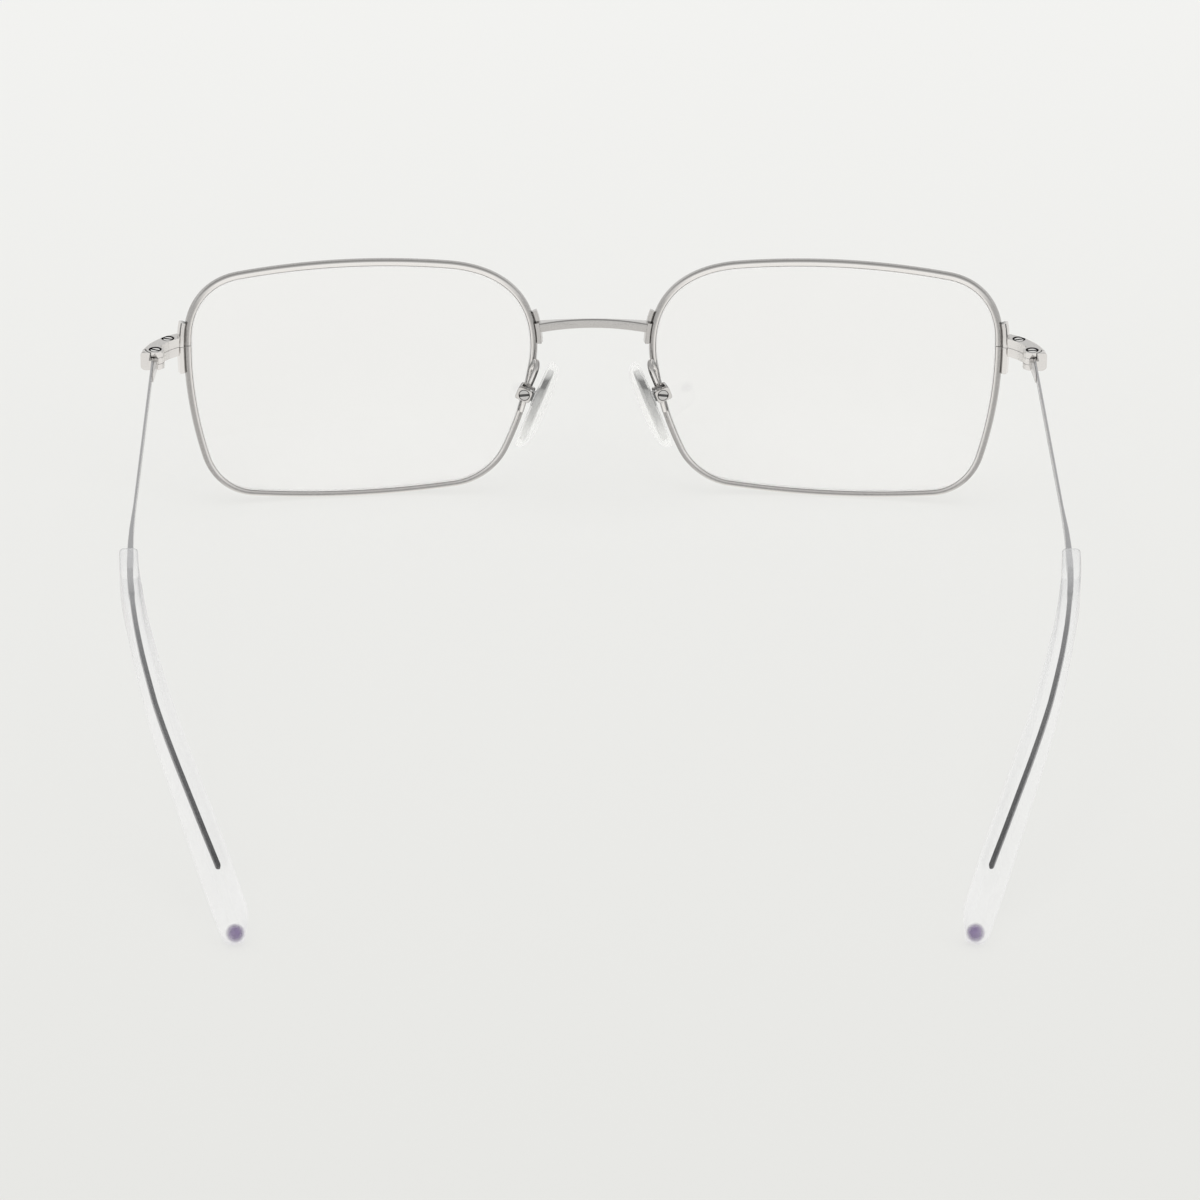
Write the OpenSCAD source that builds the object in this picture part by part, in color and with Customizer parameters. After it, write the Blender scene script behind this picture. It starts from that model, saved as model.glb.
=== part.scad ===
// Rectangular metal eyeglasses with clear lenses, open, standing on their rims and temple tips.
// +X is the wearer's left, +Y runs back along the temples, +Z is up.
// The origin lies under the middle of the whole frame, on the surface that it stands on.

/* [Lenses] */
// Width of each lens, over its bevel
lens_w = 52.8; // [46:0.1:58]
// Height of each lens, over its bevel
lens_h = 36.4; // [30:0.1:42]
// Thickness of each lens
lens_t = 1.6; // [1.2:0.1:2.2]
// Radius of the lens curve
lens_r = 110; // [90:1:250]
// Clearance between the lens bevel and the rim groove
lens_fit = 0.04; // [0.02:0.01:0.08]

/* [Front] */
// Gap between the two lenses at their nearest
bridge_gap = 18.2; // [15:0.1:23]
// Backward wrap of each lens, in degrees
wrap = 5; // [0:0.5:8]
// Lean of the front, its bottom towards the face, in degrees
lean = 8; // [4:0.5:12]
// Thickness of the rim wire, seen from the front
rim_t = 0.85; // [0.8:0.05:1.4]
// Depth of the rim wire, front to back
rim_d = 1.4; // [1.3:0.1:2.4]
// Rounding of the outer edges of the rim wire
rim_round = 0.4; // [0.2:0.05:0.55]
// Depth of the groove in the rim wire
groove_d = 0.45; // [0.3:0.05:0.6]
// Width of the groove at its mouth
groove_w = 0.8; // [0.5:0.1:0.9]
// Width of the slit where the rim opens
rim_slit = 0.1; // [0.06:0.02:0.3]

/* [Bridge] */
// Height of the bridge above the middle of the lens
bridge_up = 7.9; // [4:0.1:12]
// Height of the bridge bar
bridge_h = 1.4; // [1.2:0.05:2.4]
// Depth of the bridge bar at its ends
bridge_d = 2.6; // [1.8:0.1:3]
// Depth of the bridge bar at its middle
bridge_waist = 0.7; // [0.6:0.1:1.6]
// Rise of the bridge bar at its middle
bridge_rise = 0.25; // [0.1:0.05:1]
// Length of the feet that are soldered to the rims
foot_len = 4.7; // [3:0.1:7]
// Thickness of the feet
foot_t = 0.75; // [0.5:0.05:1.2]

/* [End pieces] */
// Height of the rim slit above the middle of the lens
split_up = 6.3; // [2:0.1:9]
// How far the end piece stands out from the rim wire
end_out = 6.7; // [6:0.05:8]
// How far the corner of the end piece lies behind the rim wire
end_back = 7.3; // [6.5:0.1:8]
// Radius of the outer curve of the end piece
end_r = 9.9; // [9:0.1:11]
// Wall of the end piece, from its outer to its inner curve
end_wall = 2.2; // [2.15:0.05:3]
// Height of the end piece, both halves together
end_h = 2.85; // [2.6:0.05:4]
// Rounding of the outer edges of the end piece
end_ease = 0.35; // [0.1:0.05:0.5]
// Thickness of the bars that are soldered to the rim ends
bar_t = 0.95; // [0.7:0.05:1.6]
// Length of the bar above the slit
bar_up = 3.5; // [2:0.1:5]
// Length of the bar below the slit
bar_down = 4.2; // [3:0.1:7]
// Gap between the two halves
end_gap = 0.06; // [0.04:0.02:0.2]

/* [Screws and hinges] */
// Distance from the outer face of the corner in to the hinge pin
hinge_in = 2.2; // [2:0.05:2.5]
// Distance of the hinge pin behind the rim wire
hinge_back = 5.15; // [4.8:0.05:5.6]
// Radius of the hinge knuckles
knuckle_r = 1.35; // [1.2:0.05:1.5]
// Height of the middle knuckle
knuckle_h = 1; // [0.8:0.05:1.2]
// Side play of the middle knuckle, each side
knuckle_play = 0.03; // [0.02:0.01:0.06]
// Radius of the screw shanks
shank_r = 0.6; // [0.4:0.05:0.7]
// Radius of the screw heads
head_r = 0.96; // [0.8:0.01:1]
// Thickness of the screw heads
head_h = 0.5; // [0.35:0.05:0.6]
// Radial clearance round a turning or passing shank
bore_fit = 0.03; // [0.02:0.01:0.06]
// Width of the slot in a screw head
slot_w = 0.3; // [0.2:0.05:0.4]

/* [Temples] */
// Distance from the hinge pin back to the end of the temple
temple_reach = 142.5; // [130:0.5:150]
// Thickness of the temple strip
strip_t = 0.36; // [0.3:0.02:0.6]
// Height of the temple strip behind the hinge
strip_h = 1.4; // [1:0.1:2]
// Distance from the hinge pin to the start of the tip
tip_start = 73.5; // [64:0.5:78]
// Thickness of the tip at its start
tip_t = 2.6; // [2.4:0.1:3.4]
// Height of the tip at its start
tip_h = 4.6; // [4:0.1:6]
// Thickness of the tip near its end
tip_end_t = 3.3; // [2.6:0.1:4]
// Height of the tip near its end
tip_end_h = 6.4; // [5:0.1:8]
// Rounding of the long edges of the tip
tip_round = 0.65; // [0.3:0.05:1]
// Distance from the hinge pin to the start of the ear bend
ear_at = 80; // [75:1:95]
// Angle by which the temple ends turn inward, in degrees
swing = 19; // [10:0.2:24]
// Clearance between the tip and its core
core_fit = 0.05; // [0.03:0.01:0.1]

/* [Nose pads] */
// Length of the nose pad
pad_len = 14; // [11:0.5:16]
// Width of the nose pad
pad_w = 8; // [6.5:0.5:9]
// Thickness of the nose pad in front of its insert
pad_dome = 1.6; // [1.2:0.1:2]
// Distance between the middles of the two pads
pad_apart = 17.4; // [15:0.1:20]
// Distance of the pads behind the lens plane
pad_back = 8; // [7:0.1:10]
// Height of the pads against the middle of the lens
pad_up = -1.4; // [-4:0.1:2]
// Slant of the pads, tops together, in degrees
pad_flare = 21; // [14:0.5:28]
// Slant of the pads, front edges together, in degrees
pad_splay = 12; // [4:0.5:24]
// Radius of the pad arm wire
arm_r = 0.45; // [0.35:0.05:0.6]

/* [Hidden] */
$fn = 48;

// Smallest step that makes a cut run clear through
over = 1;
// Clearance between pieces that are soldered or seated face to face
seat = 0.02;

// Lens outline: the corner points before rounding, low outer, high outer, high inner, low inner
corner = [[23, -17.6], [27.7, 16.7], [-32, 18.4], [-20.2, -16.7]];
// How far each corner is rounded back along its sides
round_back = [6.4, 9.2, 18.7, 5.7];
// Bow of each side in degrees: outer, top, inner, bottom
bow = [9.2, 5.5, 7.6, 7.8];
// Fullness of the rounded corners
fullness = 0.55;
// Stretches of the outline, a side and a corner four times
stretches = 8;
// Steps round the outline
rim_steps = 88;

function unit(v) = v / norm(v);
function turn(v, a) = [v.x * cos(a) - v.y * sin(a), v.x * sin(a) + v.y * cos(a)];
function bezier(a, b, c, d, t) =
    a * pow(1 - t, 3) + 3 * b * t * pow(1 - t, 2) + 3 * c * t * t * (1 - t) + d * pow(t, 3);

function side_dir(i) = unit(corner[(i + 1) % 4] - corner[i]);
function side_from(i) = corner[i] + side_dir(i) * round_back[i];
function side_to(i) = corner[(i + 1) % 4] - side_dir(i) * round_back[(i + 1) % 4];
function side_len(i) = norm(side_to(i) - side_from(i));
function side_point(i, t) =
    let (a = side_from(i), b = side_to(i), reach = side_len(i) / 3)
    bezier(a, a + turn(side_dir(i), -bow[i]) * reach, b - turn(side_dir(i), bow[i]) * reach, b, t);
function corner_point(i, t) =
    let (j = (i + 1) % 4, reach = fullness * round_back[j], a = side_to(i), b = side_from(j))
    bezier(a, a + turn(side_dir(i), bow[i]) * reach, b - turn(side_dir(j), -bow[j]) * reach, b, t);
function raw_point(q) =
    let (k = floor(q) % stretches, t = q - floor(q))
    k % 2 == 0 ? side_point(k / 2, t) : corner_point((k - 1) / 2, t);

raw = [for (i = [0 : rim_steps - 1]) raw_point(i * stretches / rim_steps)];
raw_low = [min([for (p = raw) p.x]), min([for (p = raw) p.y])];
raw_high = [max([for (p = raw) p.x]), max([for (p = raw) p.y])];
lens_size = [lens_w, lens_h];

// Point q of the lens outline, sized and centred; q runs from 0 to the number of stretches
function outline(q) =
    let (p = raw_point(q + stretches))
    [for (k = [0, 1]) (p[k] - (raw_low[k] + raw_high[k]) / 2) * lens_size[k] / (raw_high[k] - raw_low[k])];

// Where the outline passes a height on the outer side and on the inner side
function outer_q(up) = lookup(up, [for (q = [0 : 0.05 : 1.9]) [outline(q).y, q]]);
function inner_q(up) = lookup(-up, [for (q = [3 : 0.05 : 5]) [-outline(q).y, q]]);

// The lens curve: depth at a point, the way back to its centre, and a point w behind it
function dish(p) = lens_r - sqrt(pow(lens_r, 2) - pow(p.x, 2) - pow(p.y, 2));
function backward(p) = [-p.x, lens_r - dish(p), -p.y] / lens_r;
function on_curve(p, w) = [p.x, dish(p), p.y] + backward(p) * w;

// A point beside the outline: n outward from the bevel edge and w backward
function rim_at(q, n, w) =
    let (step = 0.01,
         p = outline(q),
         along = on_curve(outline(q + step), 0) - on_curve(outline(q - step), 0),
         outward = unit(cross(backward(p), along)))
    on_curve(p, w) + outward * n;

// From the eye's own frame to the front's, and from there to the leaning one
eye_x = (bridge_gap + lens_w) / 2;
function eye_point(p) =
    [eye_x + p.x * cos(wrap) - p.y * sin(wrap), p.x * sin(wrap) + p.y * cos(wrap), p.z];
function lean_point(p) =
    [p.x, p.y * cos(lean) - p.z * sin(lean), p.y * sin(lean) + p.z * cos(lean)];

rim_out = rim_t - groove_d;

// Section of the rim wire, outward and backward from the bevel edge: two rounded edges and the V groove
function rim_edge(side) = [for (k = [0 : 2]) let (a = 45 * k + (side > 0 ? 0 : -90))
    [rim_out - rim_round + rim_round * cos(a), side * (rim_d / 2 - rim_round) + rim_round * sin(a)]];
rim_profile = concat(rim_edge(-1), rim_edge(1),
    [[-groove_d, rim_d / 2], [-groove_d, groove_w / 2], [0, 0],
     [-groove_d, -groove_w / 2], [-groove_d, -rim_d / 2]]);
split_q = outer_q(split_up);
slit_q = rim_slit / 2 / side_len(0);
rim_q = [for (i = [0 : rim_steps]) split_q + slit_q + i * (stretches - 2 * slit_q) / rim_steps];
rim_points = [for (q = rim_q) for (p = rim_profile) rim_at(q, p.x, p.y)];
rim_places = [for (p = rim_points) lean_point(eye_point(p))];

// The rims rest on the surface, and the whole frame is centred front to back
eye_z = -min([for (p = rim_places) p.z]);
front_y = min([for (p = rim_places) p.y]);
split_point = lean_point(eye_point(rim_at(split_q, 0, 0)));
back_y = split_point.y + hinge_back + temple_reach;
mid_y = (front_y + back_y) / 2;
split_at = split_point + [0, -mid_y, eye_z];
hinge_at = split_at + [end_out - hinge_in, hinge_back, 0];
corner_at = split_at + [end_out - end_r, end_back, 0];

// Joins rings of k points each into one skin, as a closed loop or with an end face at each end
function skin(rings, k, loop = false) = concat(
    [for (i = [0 : rings - (loop ? 1 : 2)]) for (j = [0 : k - 1])
        let (here = i * k, next = (i + 1) % rings * k, m = (j + 1) % k)
        each [[here + j, next + m, here + m], [here + j, next + j, next + m]]],
    loop ? [] : [[for (j = [0 : k - 1]) j], [for (j = [k - 1 : -1 : 0]) (rings - 1) * k + j]]);

// Puts a piece of the front, or of one eye, in its place
module front() {
    translate([0, -mid_y, eye_z]) rotate([lean, 0, 0]) children();
}
module eye() {
    front() translate([eye_x, 0, 0]) rotate([0, 0, wrap]) children();
}
module right() {
    mirror([1, 0, 0]) children();
}

module rim() {
    color("silver") eye() polyhedron(rim_points, skin(rim_steps + 1, len(rim_profile)));
}

// Lens: rings from the middle of the back face over the bevel to the middle of the front face
bevel_back = groove_d + lens_fit;
bevel_half = groove_w / 2 - lens_fit;
lens_rings = [0.35, 0.7];
lens_edge = [[-bevel_back, lens_t / 2], [-bevel_back, bevel_half], [-lens_fit, 0], [-bevel_back, -bevel_half],
             [-bevel_back, -lens_t / 2]];
function lens_loop(share, w) = [for (i = [0 : rim_steps - 1])
    let (p = rim_at(i * stretches / rim_steps, -bevel_back, 0)) on_curve([p.x, p.z] * share, w)];
lens_points = concat(
    [for (s = lens_rings) each lens_loop(s, lens_t / 2)],
    [for (e = lens_edge) for (i = [0 : rim_steps - 1]) rim_at(i * stretches / rim_steps, e.x, e.y)],
    [for (i = [len(lens_rings) - 1 : -1 : 0]) each lens_loop(lens_rings[i], -lens_t / 2)],
    [on_curve([0, 0], lens_t / 2), on_curve([0, 0], -lens_t / 2)]);
lens_ring_count = 2 * len(lens_rings) + len(lens_edge);
lens_mid = lens_ring_count * rim_steps;
lens_skin = skin(lens_ring_count, rim_steps);
lens_last = (lens_ring_count - 1) * rim_steps;
lens_faces = concat(
    [for (i = [0 : len(lens_skin) - 3]) lens_skin[i]],
    [for (j = [0 : rim_steps - 1]) [lens_mid, j, (j + 1) % rim_steps]],
    [for (j = [0 : rim_steps - 1]) [lens_mid + 1, lens_last + (j + 1) % rim_steps, lens_last + j]]);

module lens() {
    color("azure", 0.4) eye() polyhedron(lens_points, lens_faces);
}

// A short bar along the outside of the rim wire, from stations of [q, front, back]
bar_ease = 0.15;
bar_valley = 0.3;
module rim_bar(stations, thick) {
    points = [for (s = stations) for (p = uneven_box(thick, s.z - s.y, bar_ease, bar_valley))
        rim_at(s.x, rim_out + seat + thick / 2 - p.x, (s.y + s.z) / 2 + p.y)];
    polyhedron(points, skin(len(stations), 8));
}
function even_stations(from_q, to_q, w0, w1, steps = 4) =
    [for (i = [0 : steps]) [from_q + i * (to_q - from_q) / steps, w0, w1]];

// Bridge: a bar with a waist, arched, between two feet whose upper parts step forward
bridge_end = eye_point(rim_at(inner_q(bridge_up), rim_out + seat + foot_t / 2, 0));
foot_proud = 0.15;
bridge_back = bridge_end.y + rim_d / 2 + foot_proud;
bridge_steps = 20;
bridge_bulge = 0.2;
bridge_ease = 0.25;
foot_recess = 0.5;
foot_step = 0.15;

module bridge_foot() {
    rim_bar(concat(
        even_stations(inner_q(bridge_up + foot_len / 2), inner_q(bridge_up + bridge_h / 2 + foot_step),
            -rim_d / 2, rim_d / 2 - foot_recess, 2),
        even_stations(inner_q(bridge_up + bridge_h / 2), inner_q(bridge_up - foot_len / 2),
            -rim_d / 2, rim_d / 2 + foot_proud)), foot_t);
}

// Bar: sections across the nose, deepest at the ends and highest in the middle
module bridge_bar() {
    points = [for (i = [0 : bridge_steps])
        let (t = 2 * i / bridge_steps - 1,
             y0 = bridge_back - bridge_d - bridge_bulge * (1 - t * t),
             y1 = bridge_back - (bridge_d + bridge_bulge - bridge_waist) * (1 - t * t),
             z = bridge_up + bridge_rise * (1 - t * t))
        for (p = eased_box(y1 - y0, bridge_h, bridge_ease)) [t * bridge_end.x, (y0 + y1) / 2 - p.x, z + p.y]];
    polyhedron(points, skin(bridge_steps + 1, 8));
}

module bridge() {
    color("silver") {
        front() bridge_bar();
        eye() bridge_foot();
        right() eye() bridge_foot();
    }
}

// Ring with eased outer edges that the end pieces and the temple heads are cut from
module end_ring() {
    translate([corner_at.x, corner_at.y, split_at.z]) rotate_extrude($fn = 96) difference() {
        eased_square([0, -end_h / 2], [end_r, end_h / 2], end_ease);
        translate([0, -end_h]) square([end_r - end_wall, 2 * end_h]);
    }
}

// End piece: the curved block with the round of the hinge knuckle, both halves together
module end_block() {
    block_x = split_at.x + rim_out + seat + end_h / 2 * tan(lean + wrap);
    intersection() {
        end_ring();
        translate([block_x, split_at.y - rim_d, split_at.z - end_h])
            cube([end_out, hinge_back + rim_d, 2 * end_h]);
    }
    translate(hinge_at - [0, 0, end_h / 2]) cylinder(h = end_h, r = knuckle_r);
}

lock_angle = -47;
lock_at = corner_at + (end_r - end_wall / 2) * [cos(lock_angle), sin(lock_angle), 0];
head_sink = 0.05;
thread_fit = 0.01;
knuckle_gap = 0.16;
bar_lap = 0.5;

// One half of the end piece, up = 1 for the upper and -1 for the lower half
module end_half(up) {
    bar_from = up > 0 ? split_up - bar_lap : split_up - bar_down;
    bar_to = up > 0 ? split_up + bar_up : split_up + bar_lap;
    shank_fit = up > 0 ? bore_fit : thread_fit;
    color("silver") difference() {
        union() {
            end_block();
            eye() rim_bar(even_stations(outer_q(bar_from), outer_q(bar_to), -rim_d / 2, rim_d / 2), bar_t);
        }
        for (at = [lock_at, hinge_at]) {
            translate(at + [0, 0, -end_h]) cylinder(h = 2 * end_h, r = shank_r + shank_fit);
            translate(at + [0, 0, end_h / 2 - head_h - head_sink]) cylinder(h = end_h, r = head_r + bore_fit);
        }
        translate(hinge_at - [0, 0, knuckle_h / 2 + knuckle_play])
            cylinder(h = knuckle_h + 2 * knuckle_play, r = knuckle_r + knuckle_gap);
        translate(split_at + [0, 0, up > 0 ? end_gap / 2 - end_h : -end_gap / 2] - [end_out, end_out, 0])
            cube([2 * end_out, 2 * end_out, end_h]);
    }
}

// Slotted screw that points down, with the top of its head at the origin
module screw(r, h, shank, length) {
    difference() {
        union() {
            translate([0, 0, -h]) cylinder(h = h, r = r);
            translate([0, 0, -length]) cylinder(h = length - h / 2, r = shank);
        }
        translate([-r - over, -slot_w / 2, -h / 2]) cube([2 * (r + over), slot_w, h]);
    }
}

// How the four screw slots happen to stand, in degrees
slots = [25, 70, -20, 40];
module end_screw(at, angle) {
    color("darkgray") translate(at + [0, 0, end_h / 2 - head_sink]) rotate([0, 0, angle])
        screw(head_r, head_h, shank_r, end_h - 2 * head_sink);
}

// Middle line of the temple, measured back from the hinge pin
swing_at = 67.2;
swing_len = 46;
ear_len = 26;
strip_in = 0.12;
strip_x = hinge_at.x + strip_in + strip_t / 2;
function ramp(y, from, run) = y < from ? 0 : y < from + run ? pow(y - from, 2) / (2 * run) : y - from - run / 2;
function ramp_rate(y, from, run) = min(max((y - from) / run, 0), 1);

// The ends drop so far that the tips rest on the same surface as the rims
cap_r = tip_end_h / 2;
cap_at = temple_reach - cap_r;
ear_drop = (split_at.z - cap_r) / ramp(cap_at, ear_at, ear_len);
function temple_mid(y) = [strip_x - tan(swing) * ramp(y, swing_at, swing_len), hinge_at.y + y,
                          split_at.z - ear_drop * ramp(y, ear_at, ear_len)];
function temple_dir(y) = unit([-tan(swing) * ramp_rate(y, swing_at, swing_len), 1,
                               -ear_drop * ramp_rate(y, ear_at, ear_len)]);
function temple_out(y) = unit(cross(temple_dir(y), [0, 0, 1]));
function temple_up(y) = cross(temple_out(y), temple_dir(y));

// A section of the temple at y, from its flat outline
function section(y, flat) = [for (p = flat) temple_mid(y) + temple_out(y) * p.x + temple_up(y) * p.y];

// Flat outlines: a box with its corners cut by e and f on its two sides, and one with rounded corners
function uneven_box(t, h, e, f) =
    [[-t / 2, -h / 2 + e], [-t / 2, h / 2 - e], [-t / 2 + e, h / 2], [t / 2 - f, h / 2],
     [t / 2, h / 2 - f], [t / 2, -h / 2 + f], [t / 2 - f, -h / 2], [-t / 2 + e, -h / 2]];
function eased_box(t, h, e) = uneven_box(t, h, e, e);
soft_sides = 16;
function soft_box(t, h, e) = [for (a = [180, 90, 0, -90])
    let (c = [(t / 2 - e) * sign(cos(a - 45)), (h / 2 - e) * sign(sin(a - 45))])
    each concat([[t / 2 * cos(a), h / 2 * sin(a)]], [for (b = [a, a - 45, a - 90]) c + e * [cos(b), sin(b)]])];

// Strip and its core inside the tip: distance from the hinge, thickness, height
strip_from = 1.7;
strip_ease = 0.1;
grip_end = tip_start + 17;
core_end = temple_reach - 16;
strip_sizes = [[strip_from, strip_t, strip_h], [tip_start - 18, strip_t, strip_h],
               [tip_start, strip_t + 0.35, 1.9], [tip_start + 5, 0.6, 1.7],
               [tip_start + 7, 0.9, 2.2], [tip_start + 14, 0.9, 2.2], [grip_end, 0.55, 1.7],
               [core_end - 4, 0.65, 2.2], [core_end, 0.7, 1.2]];
function size_at(sizes, y, k) = lookup(y, [for (s = sizes) [s[0], s[k]]]);
function strip_flat(y, grow) =
    [size_at(strip_sizes, y, 1) + 2 * grow, size_at(strip_sizes, y, 2) + 2 * grow];
core_steps = 12;
temple_y = concat(
    [strip_from, tip_start * 0.4, tip_start - 18, tip_start - 8, tip_start, tip_start + 5, tip_start + 7,
     tip_start + 14, grip_end],
    [for (i = [1 : core_steps]) grip_end + (core_end - grip_end) * i / core_steps]);

module temple() {
    points = [for (y = temple_y)
        let (flat = strip_flat(y, 0)) each section(y, eased_box(flat.x, flat.y, strip_ease))];
    color("silver") union() {
        polyhedron(points, skin(len(temple_y), 8));
        temple_head();
    }
}

// Head of the temple: closes the corner behind the hinge, flush with the end piece
head_len = 1.25;
head_in = 0.05;
head_round = 0.8;
neck_t = 0.7;
neck_len = 1.9;
joint_gap = 0.1;
module temple_head() {
    inner_x = hinge_at.x + strip_in + head_in;
    neck_h = strip_h - 2 * head_in;
    translate([0, 0, split_at.z - neck_h / 2]) linear_extrude(neck_h) difference() {
        translate([inner_x, hinge_at.y + joint_gap + head_len / 2]) square([neck_t, neck_len]);
        translate([hinge_at.x, hinge_at.y]) circle(knuckle_r + knuckle_gap);
    }
    difference() {
        intersection() {
            end_ring();
            translate([0, hinge_at.y + joint_gap + head_len, split_at.z]) rotate([90, 0, 0])
                linear_extrude(head_len) intersection() {
                    translate([inner_x, -end_h]) square(2 * end_h);
                    eased_square([0, -end_h / 2], [corner_at.x + end_r, end_h], head_round);
                }
        }
        translate(hinge_at - [0, 0, end_h]) cylinder(h = 2 * end_h, r = knuckle_r + knuckle_gap);
    }
}

// Hinge leaf: middle knuckle, its neck and a tapered leaf on the inside of the temple
leaf_len = 7.8;
leaf_t = 0.6;
leaf_h = 1.3;
leaf_tip_t = 0.15;
module hinge_leaf() {
    face = strip_in - seat;
    clear = knuckle_r + 2 * knuckle_gap;
    color("silver") difference() {
        translate(hinge_at) union() {
            translate([0, 0, -knuckle_h / 2]) cylinder(h = knuckle_h, r = knuckle_r);
            translate([face - leaf_t, 0, -knuckle_h / 2]) cube([leaf_t, clear + over, knuckle_h]);
            translate([0, 0, -leaf_h / 2]) linear_extrude(leaf_h)
                polygon([[face - leaf_t, clear], [face, clear],
                         [face, leaf_len], [face - leaf_tip_t, leaf_len]]);
        }
        translate(hinge_at - [0, 0, knuckle_h]) cylinder(h = 2 * knuckle_h, r = shank_r + bore_fit);
    }
}

// Temple tip: a sleeve with a blind socket for the core and a round end
cap_angles = [18, 36, 54, 70, 82];
tip_steps = 22;
tip_mouth = [[0, 0.8], [0.12, 0.93], [0.4, 1]];
socket_room = 0.1;
tip_sizes = [[tip_start, tip_t, tip_h], [tip_start + 12, tip_t + 0.2, tip_h + 0.4],
             [ear_at + 12, tip_t + 0.1, tip_h + 0.2],
             [cap_at - 8, tip_end_t, tip_end_h], [cap_at, tip_end_t - 0.2, tip_end_h]];
function tip_flat(y) = soft_box(size_at(tip_sizes, y, 1), size_at(tip_sizes, y, 2), tip_round);
function socket_flat(y) = let (flat = strip_flat(y, core_fit)) soft_box(flat.x, flat.y, strip_ease);

module temple_tip() {
    deep = [for (i = [len(temple_y) - 1 : -1 : 0]) if (temple_y[i] >= tip_start) temple_y[i]];
    bottom = [for (p = section(deep[0], socket_flat(deep[0]))) p + temple_dir(deep[0]) * socket_room];
    socket = [for (i = [1 : len(deep) - 1]) each section(deep[i], socket_flat(deep[i]))];
    mouth = [for (m = tip_mouth) each section(tip_start + m.x, tip_flat(tip_start + m.x) * m.y)];
    body = [for (i = [1 : tip_steps]) let (y = tip_start + (cap_at - tip_start) * i / tip_steps)
        each section(y, tip_flat(y))];
    cap = [for (a = cap_angles, p = section(cap_at, tip_flat(cap_at) * cos(a)))
        p + temple_dir(cap_at) * cap_r * sin(a)];
    rings = len(deep) + len(tip_mouth) + tip_steps + len(cap_angles);
    color("whitesmoke", 0.6) polyhedron(concat(bottom, socket, mouth, body, cap), skin(rings, soft_sides));
}

// Nose pads: in the pad's own frame x runs outward from the nose, y backward and z along the pad
pad_at = [pad_apart / 2, pad_back, pad_up];
pad_mid = front_height(pad_at);
pin_out = 2.15;
pin_up = 1.1;
pad_rim = 0.6;
insert_t = 0.8;
insert_share = 0.86;
box_out = 3.4;
box_in = 1.05;
box_w = 2.4;
box_h = 2.0;
box_ease = 0.4;
box_wall = 0.4;
box_slot = 1.1;
lug_t = 1.0;
lug_r = 0.75;
root_out = 0.8;
root_w = 1.9;
root_h = 2.5;
pin_r = 0.4;
pin_head_r = 0.8;
pin_head_h = 0.35;

// A place given against the middle of the lens, with its height measured straight up
function front_height(p) = [p.x, p.y - mid_y, p.z + eye_z];

module pad_frame() {
    translate(pad_mid) rotate([0, -pad_flare, 0]) rotate([0, 0, -pad_splay]) children();
}
function pad_place(p) =
    let (a = [p.x * cos(pad_splay) + p.y * sin(pad_splay), p.y * cos(pad_splay) - p.x * sin(pad_splay), p.z])
    pad_mid + [a.x * cos(pad_flare) - a.z * sin(pad_flare), a.y, a.x * sin(pad_flare) + a.z * cos(pad_flare)];

// Pad: flat back, domed front, as loops of shrinking ovals
function bulge(s, power) = sign(s) * pow(abs(s), power);
pad_sides = 24;
pad_loops = [[0.6, pad_rim], [0.93, pad_rim], [1, pad_rim - 0.3], [1, 0], [0.96, -0.35], [0.86, -0.65],
             [0.68, -0.85], [0.42, -0.96], [0.16, -1]];
pad_power = 0.72;
module nose_pad() {
    points = [for (l = pad_loops, i = [0 : pad_sides - 1]) let (a = i * 360 / pad_sides)
        [l.y < 0 ? l.y * pad_dome : l.y,
         -l.x * pad_w / 2 * bulge(cos(a), pad_power),
         l.x * pad_len / 2 * bulge(sin(a), pad_power)]];
    color("whitesmoke", 0.6) pad_frame() difference() {
        polyhedron(points, skin(len(pad_loops), pad_sides));
        insert_plate(insert_t + 2 * seat, seat);
        lug(seat);
    }
}

// Insert: an oval plate inside the pad, and the lug that stands out of it on a broader root
insert_x = -0.5;
insert_sides = 48;
module insert_plate(t, grow) {
    a = pad_len * insert_share / 2 + grow;
    b = pad_w * insert_share / 2 + grow;
    translate([insert_x + (insert_t - t) / 2, 0, 0]) rotate([0, 90, 0]) linear_extrude(t)
        polygon([for (i = [0 : insert_sides - 1]) let (s = i * 360 / insert_sides) [a * cos(s), b * sin(s)]]);
}
module lug(grow) {
    x0 = insert_x + insert_t / 2;
    r = lug_r + grow;
    translate([0, lug_t / 2 + grow, 0]) rotate([90, 0, 0]) linear_extrude(lug_t + 2 * grow) {
        translate([pin_out, pin_up]) circle(r);
        translate([x0, pin_up - r]) square([pin_out - x0, 2 * r]);
    }
    translate([x0, -root_w / 2 - grow, pin_up - root_h / 2 - grow])
        cube([root_out - x0, root_w + 2 * grow, root_h + 2 * grow]);
}
module pad_insert() {
    color("lightgray") pad_frame() difference() {
        union() {
            insert_plate(insert_t, 0);
            lug(0);
        }
        translate([pin_out, box_w, pin_up]) rotate([90, 0, 0]) cylinder(h = 2 * box_w, r = pin_r + bore_fit);
    }
}

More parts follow.
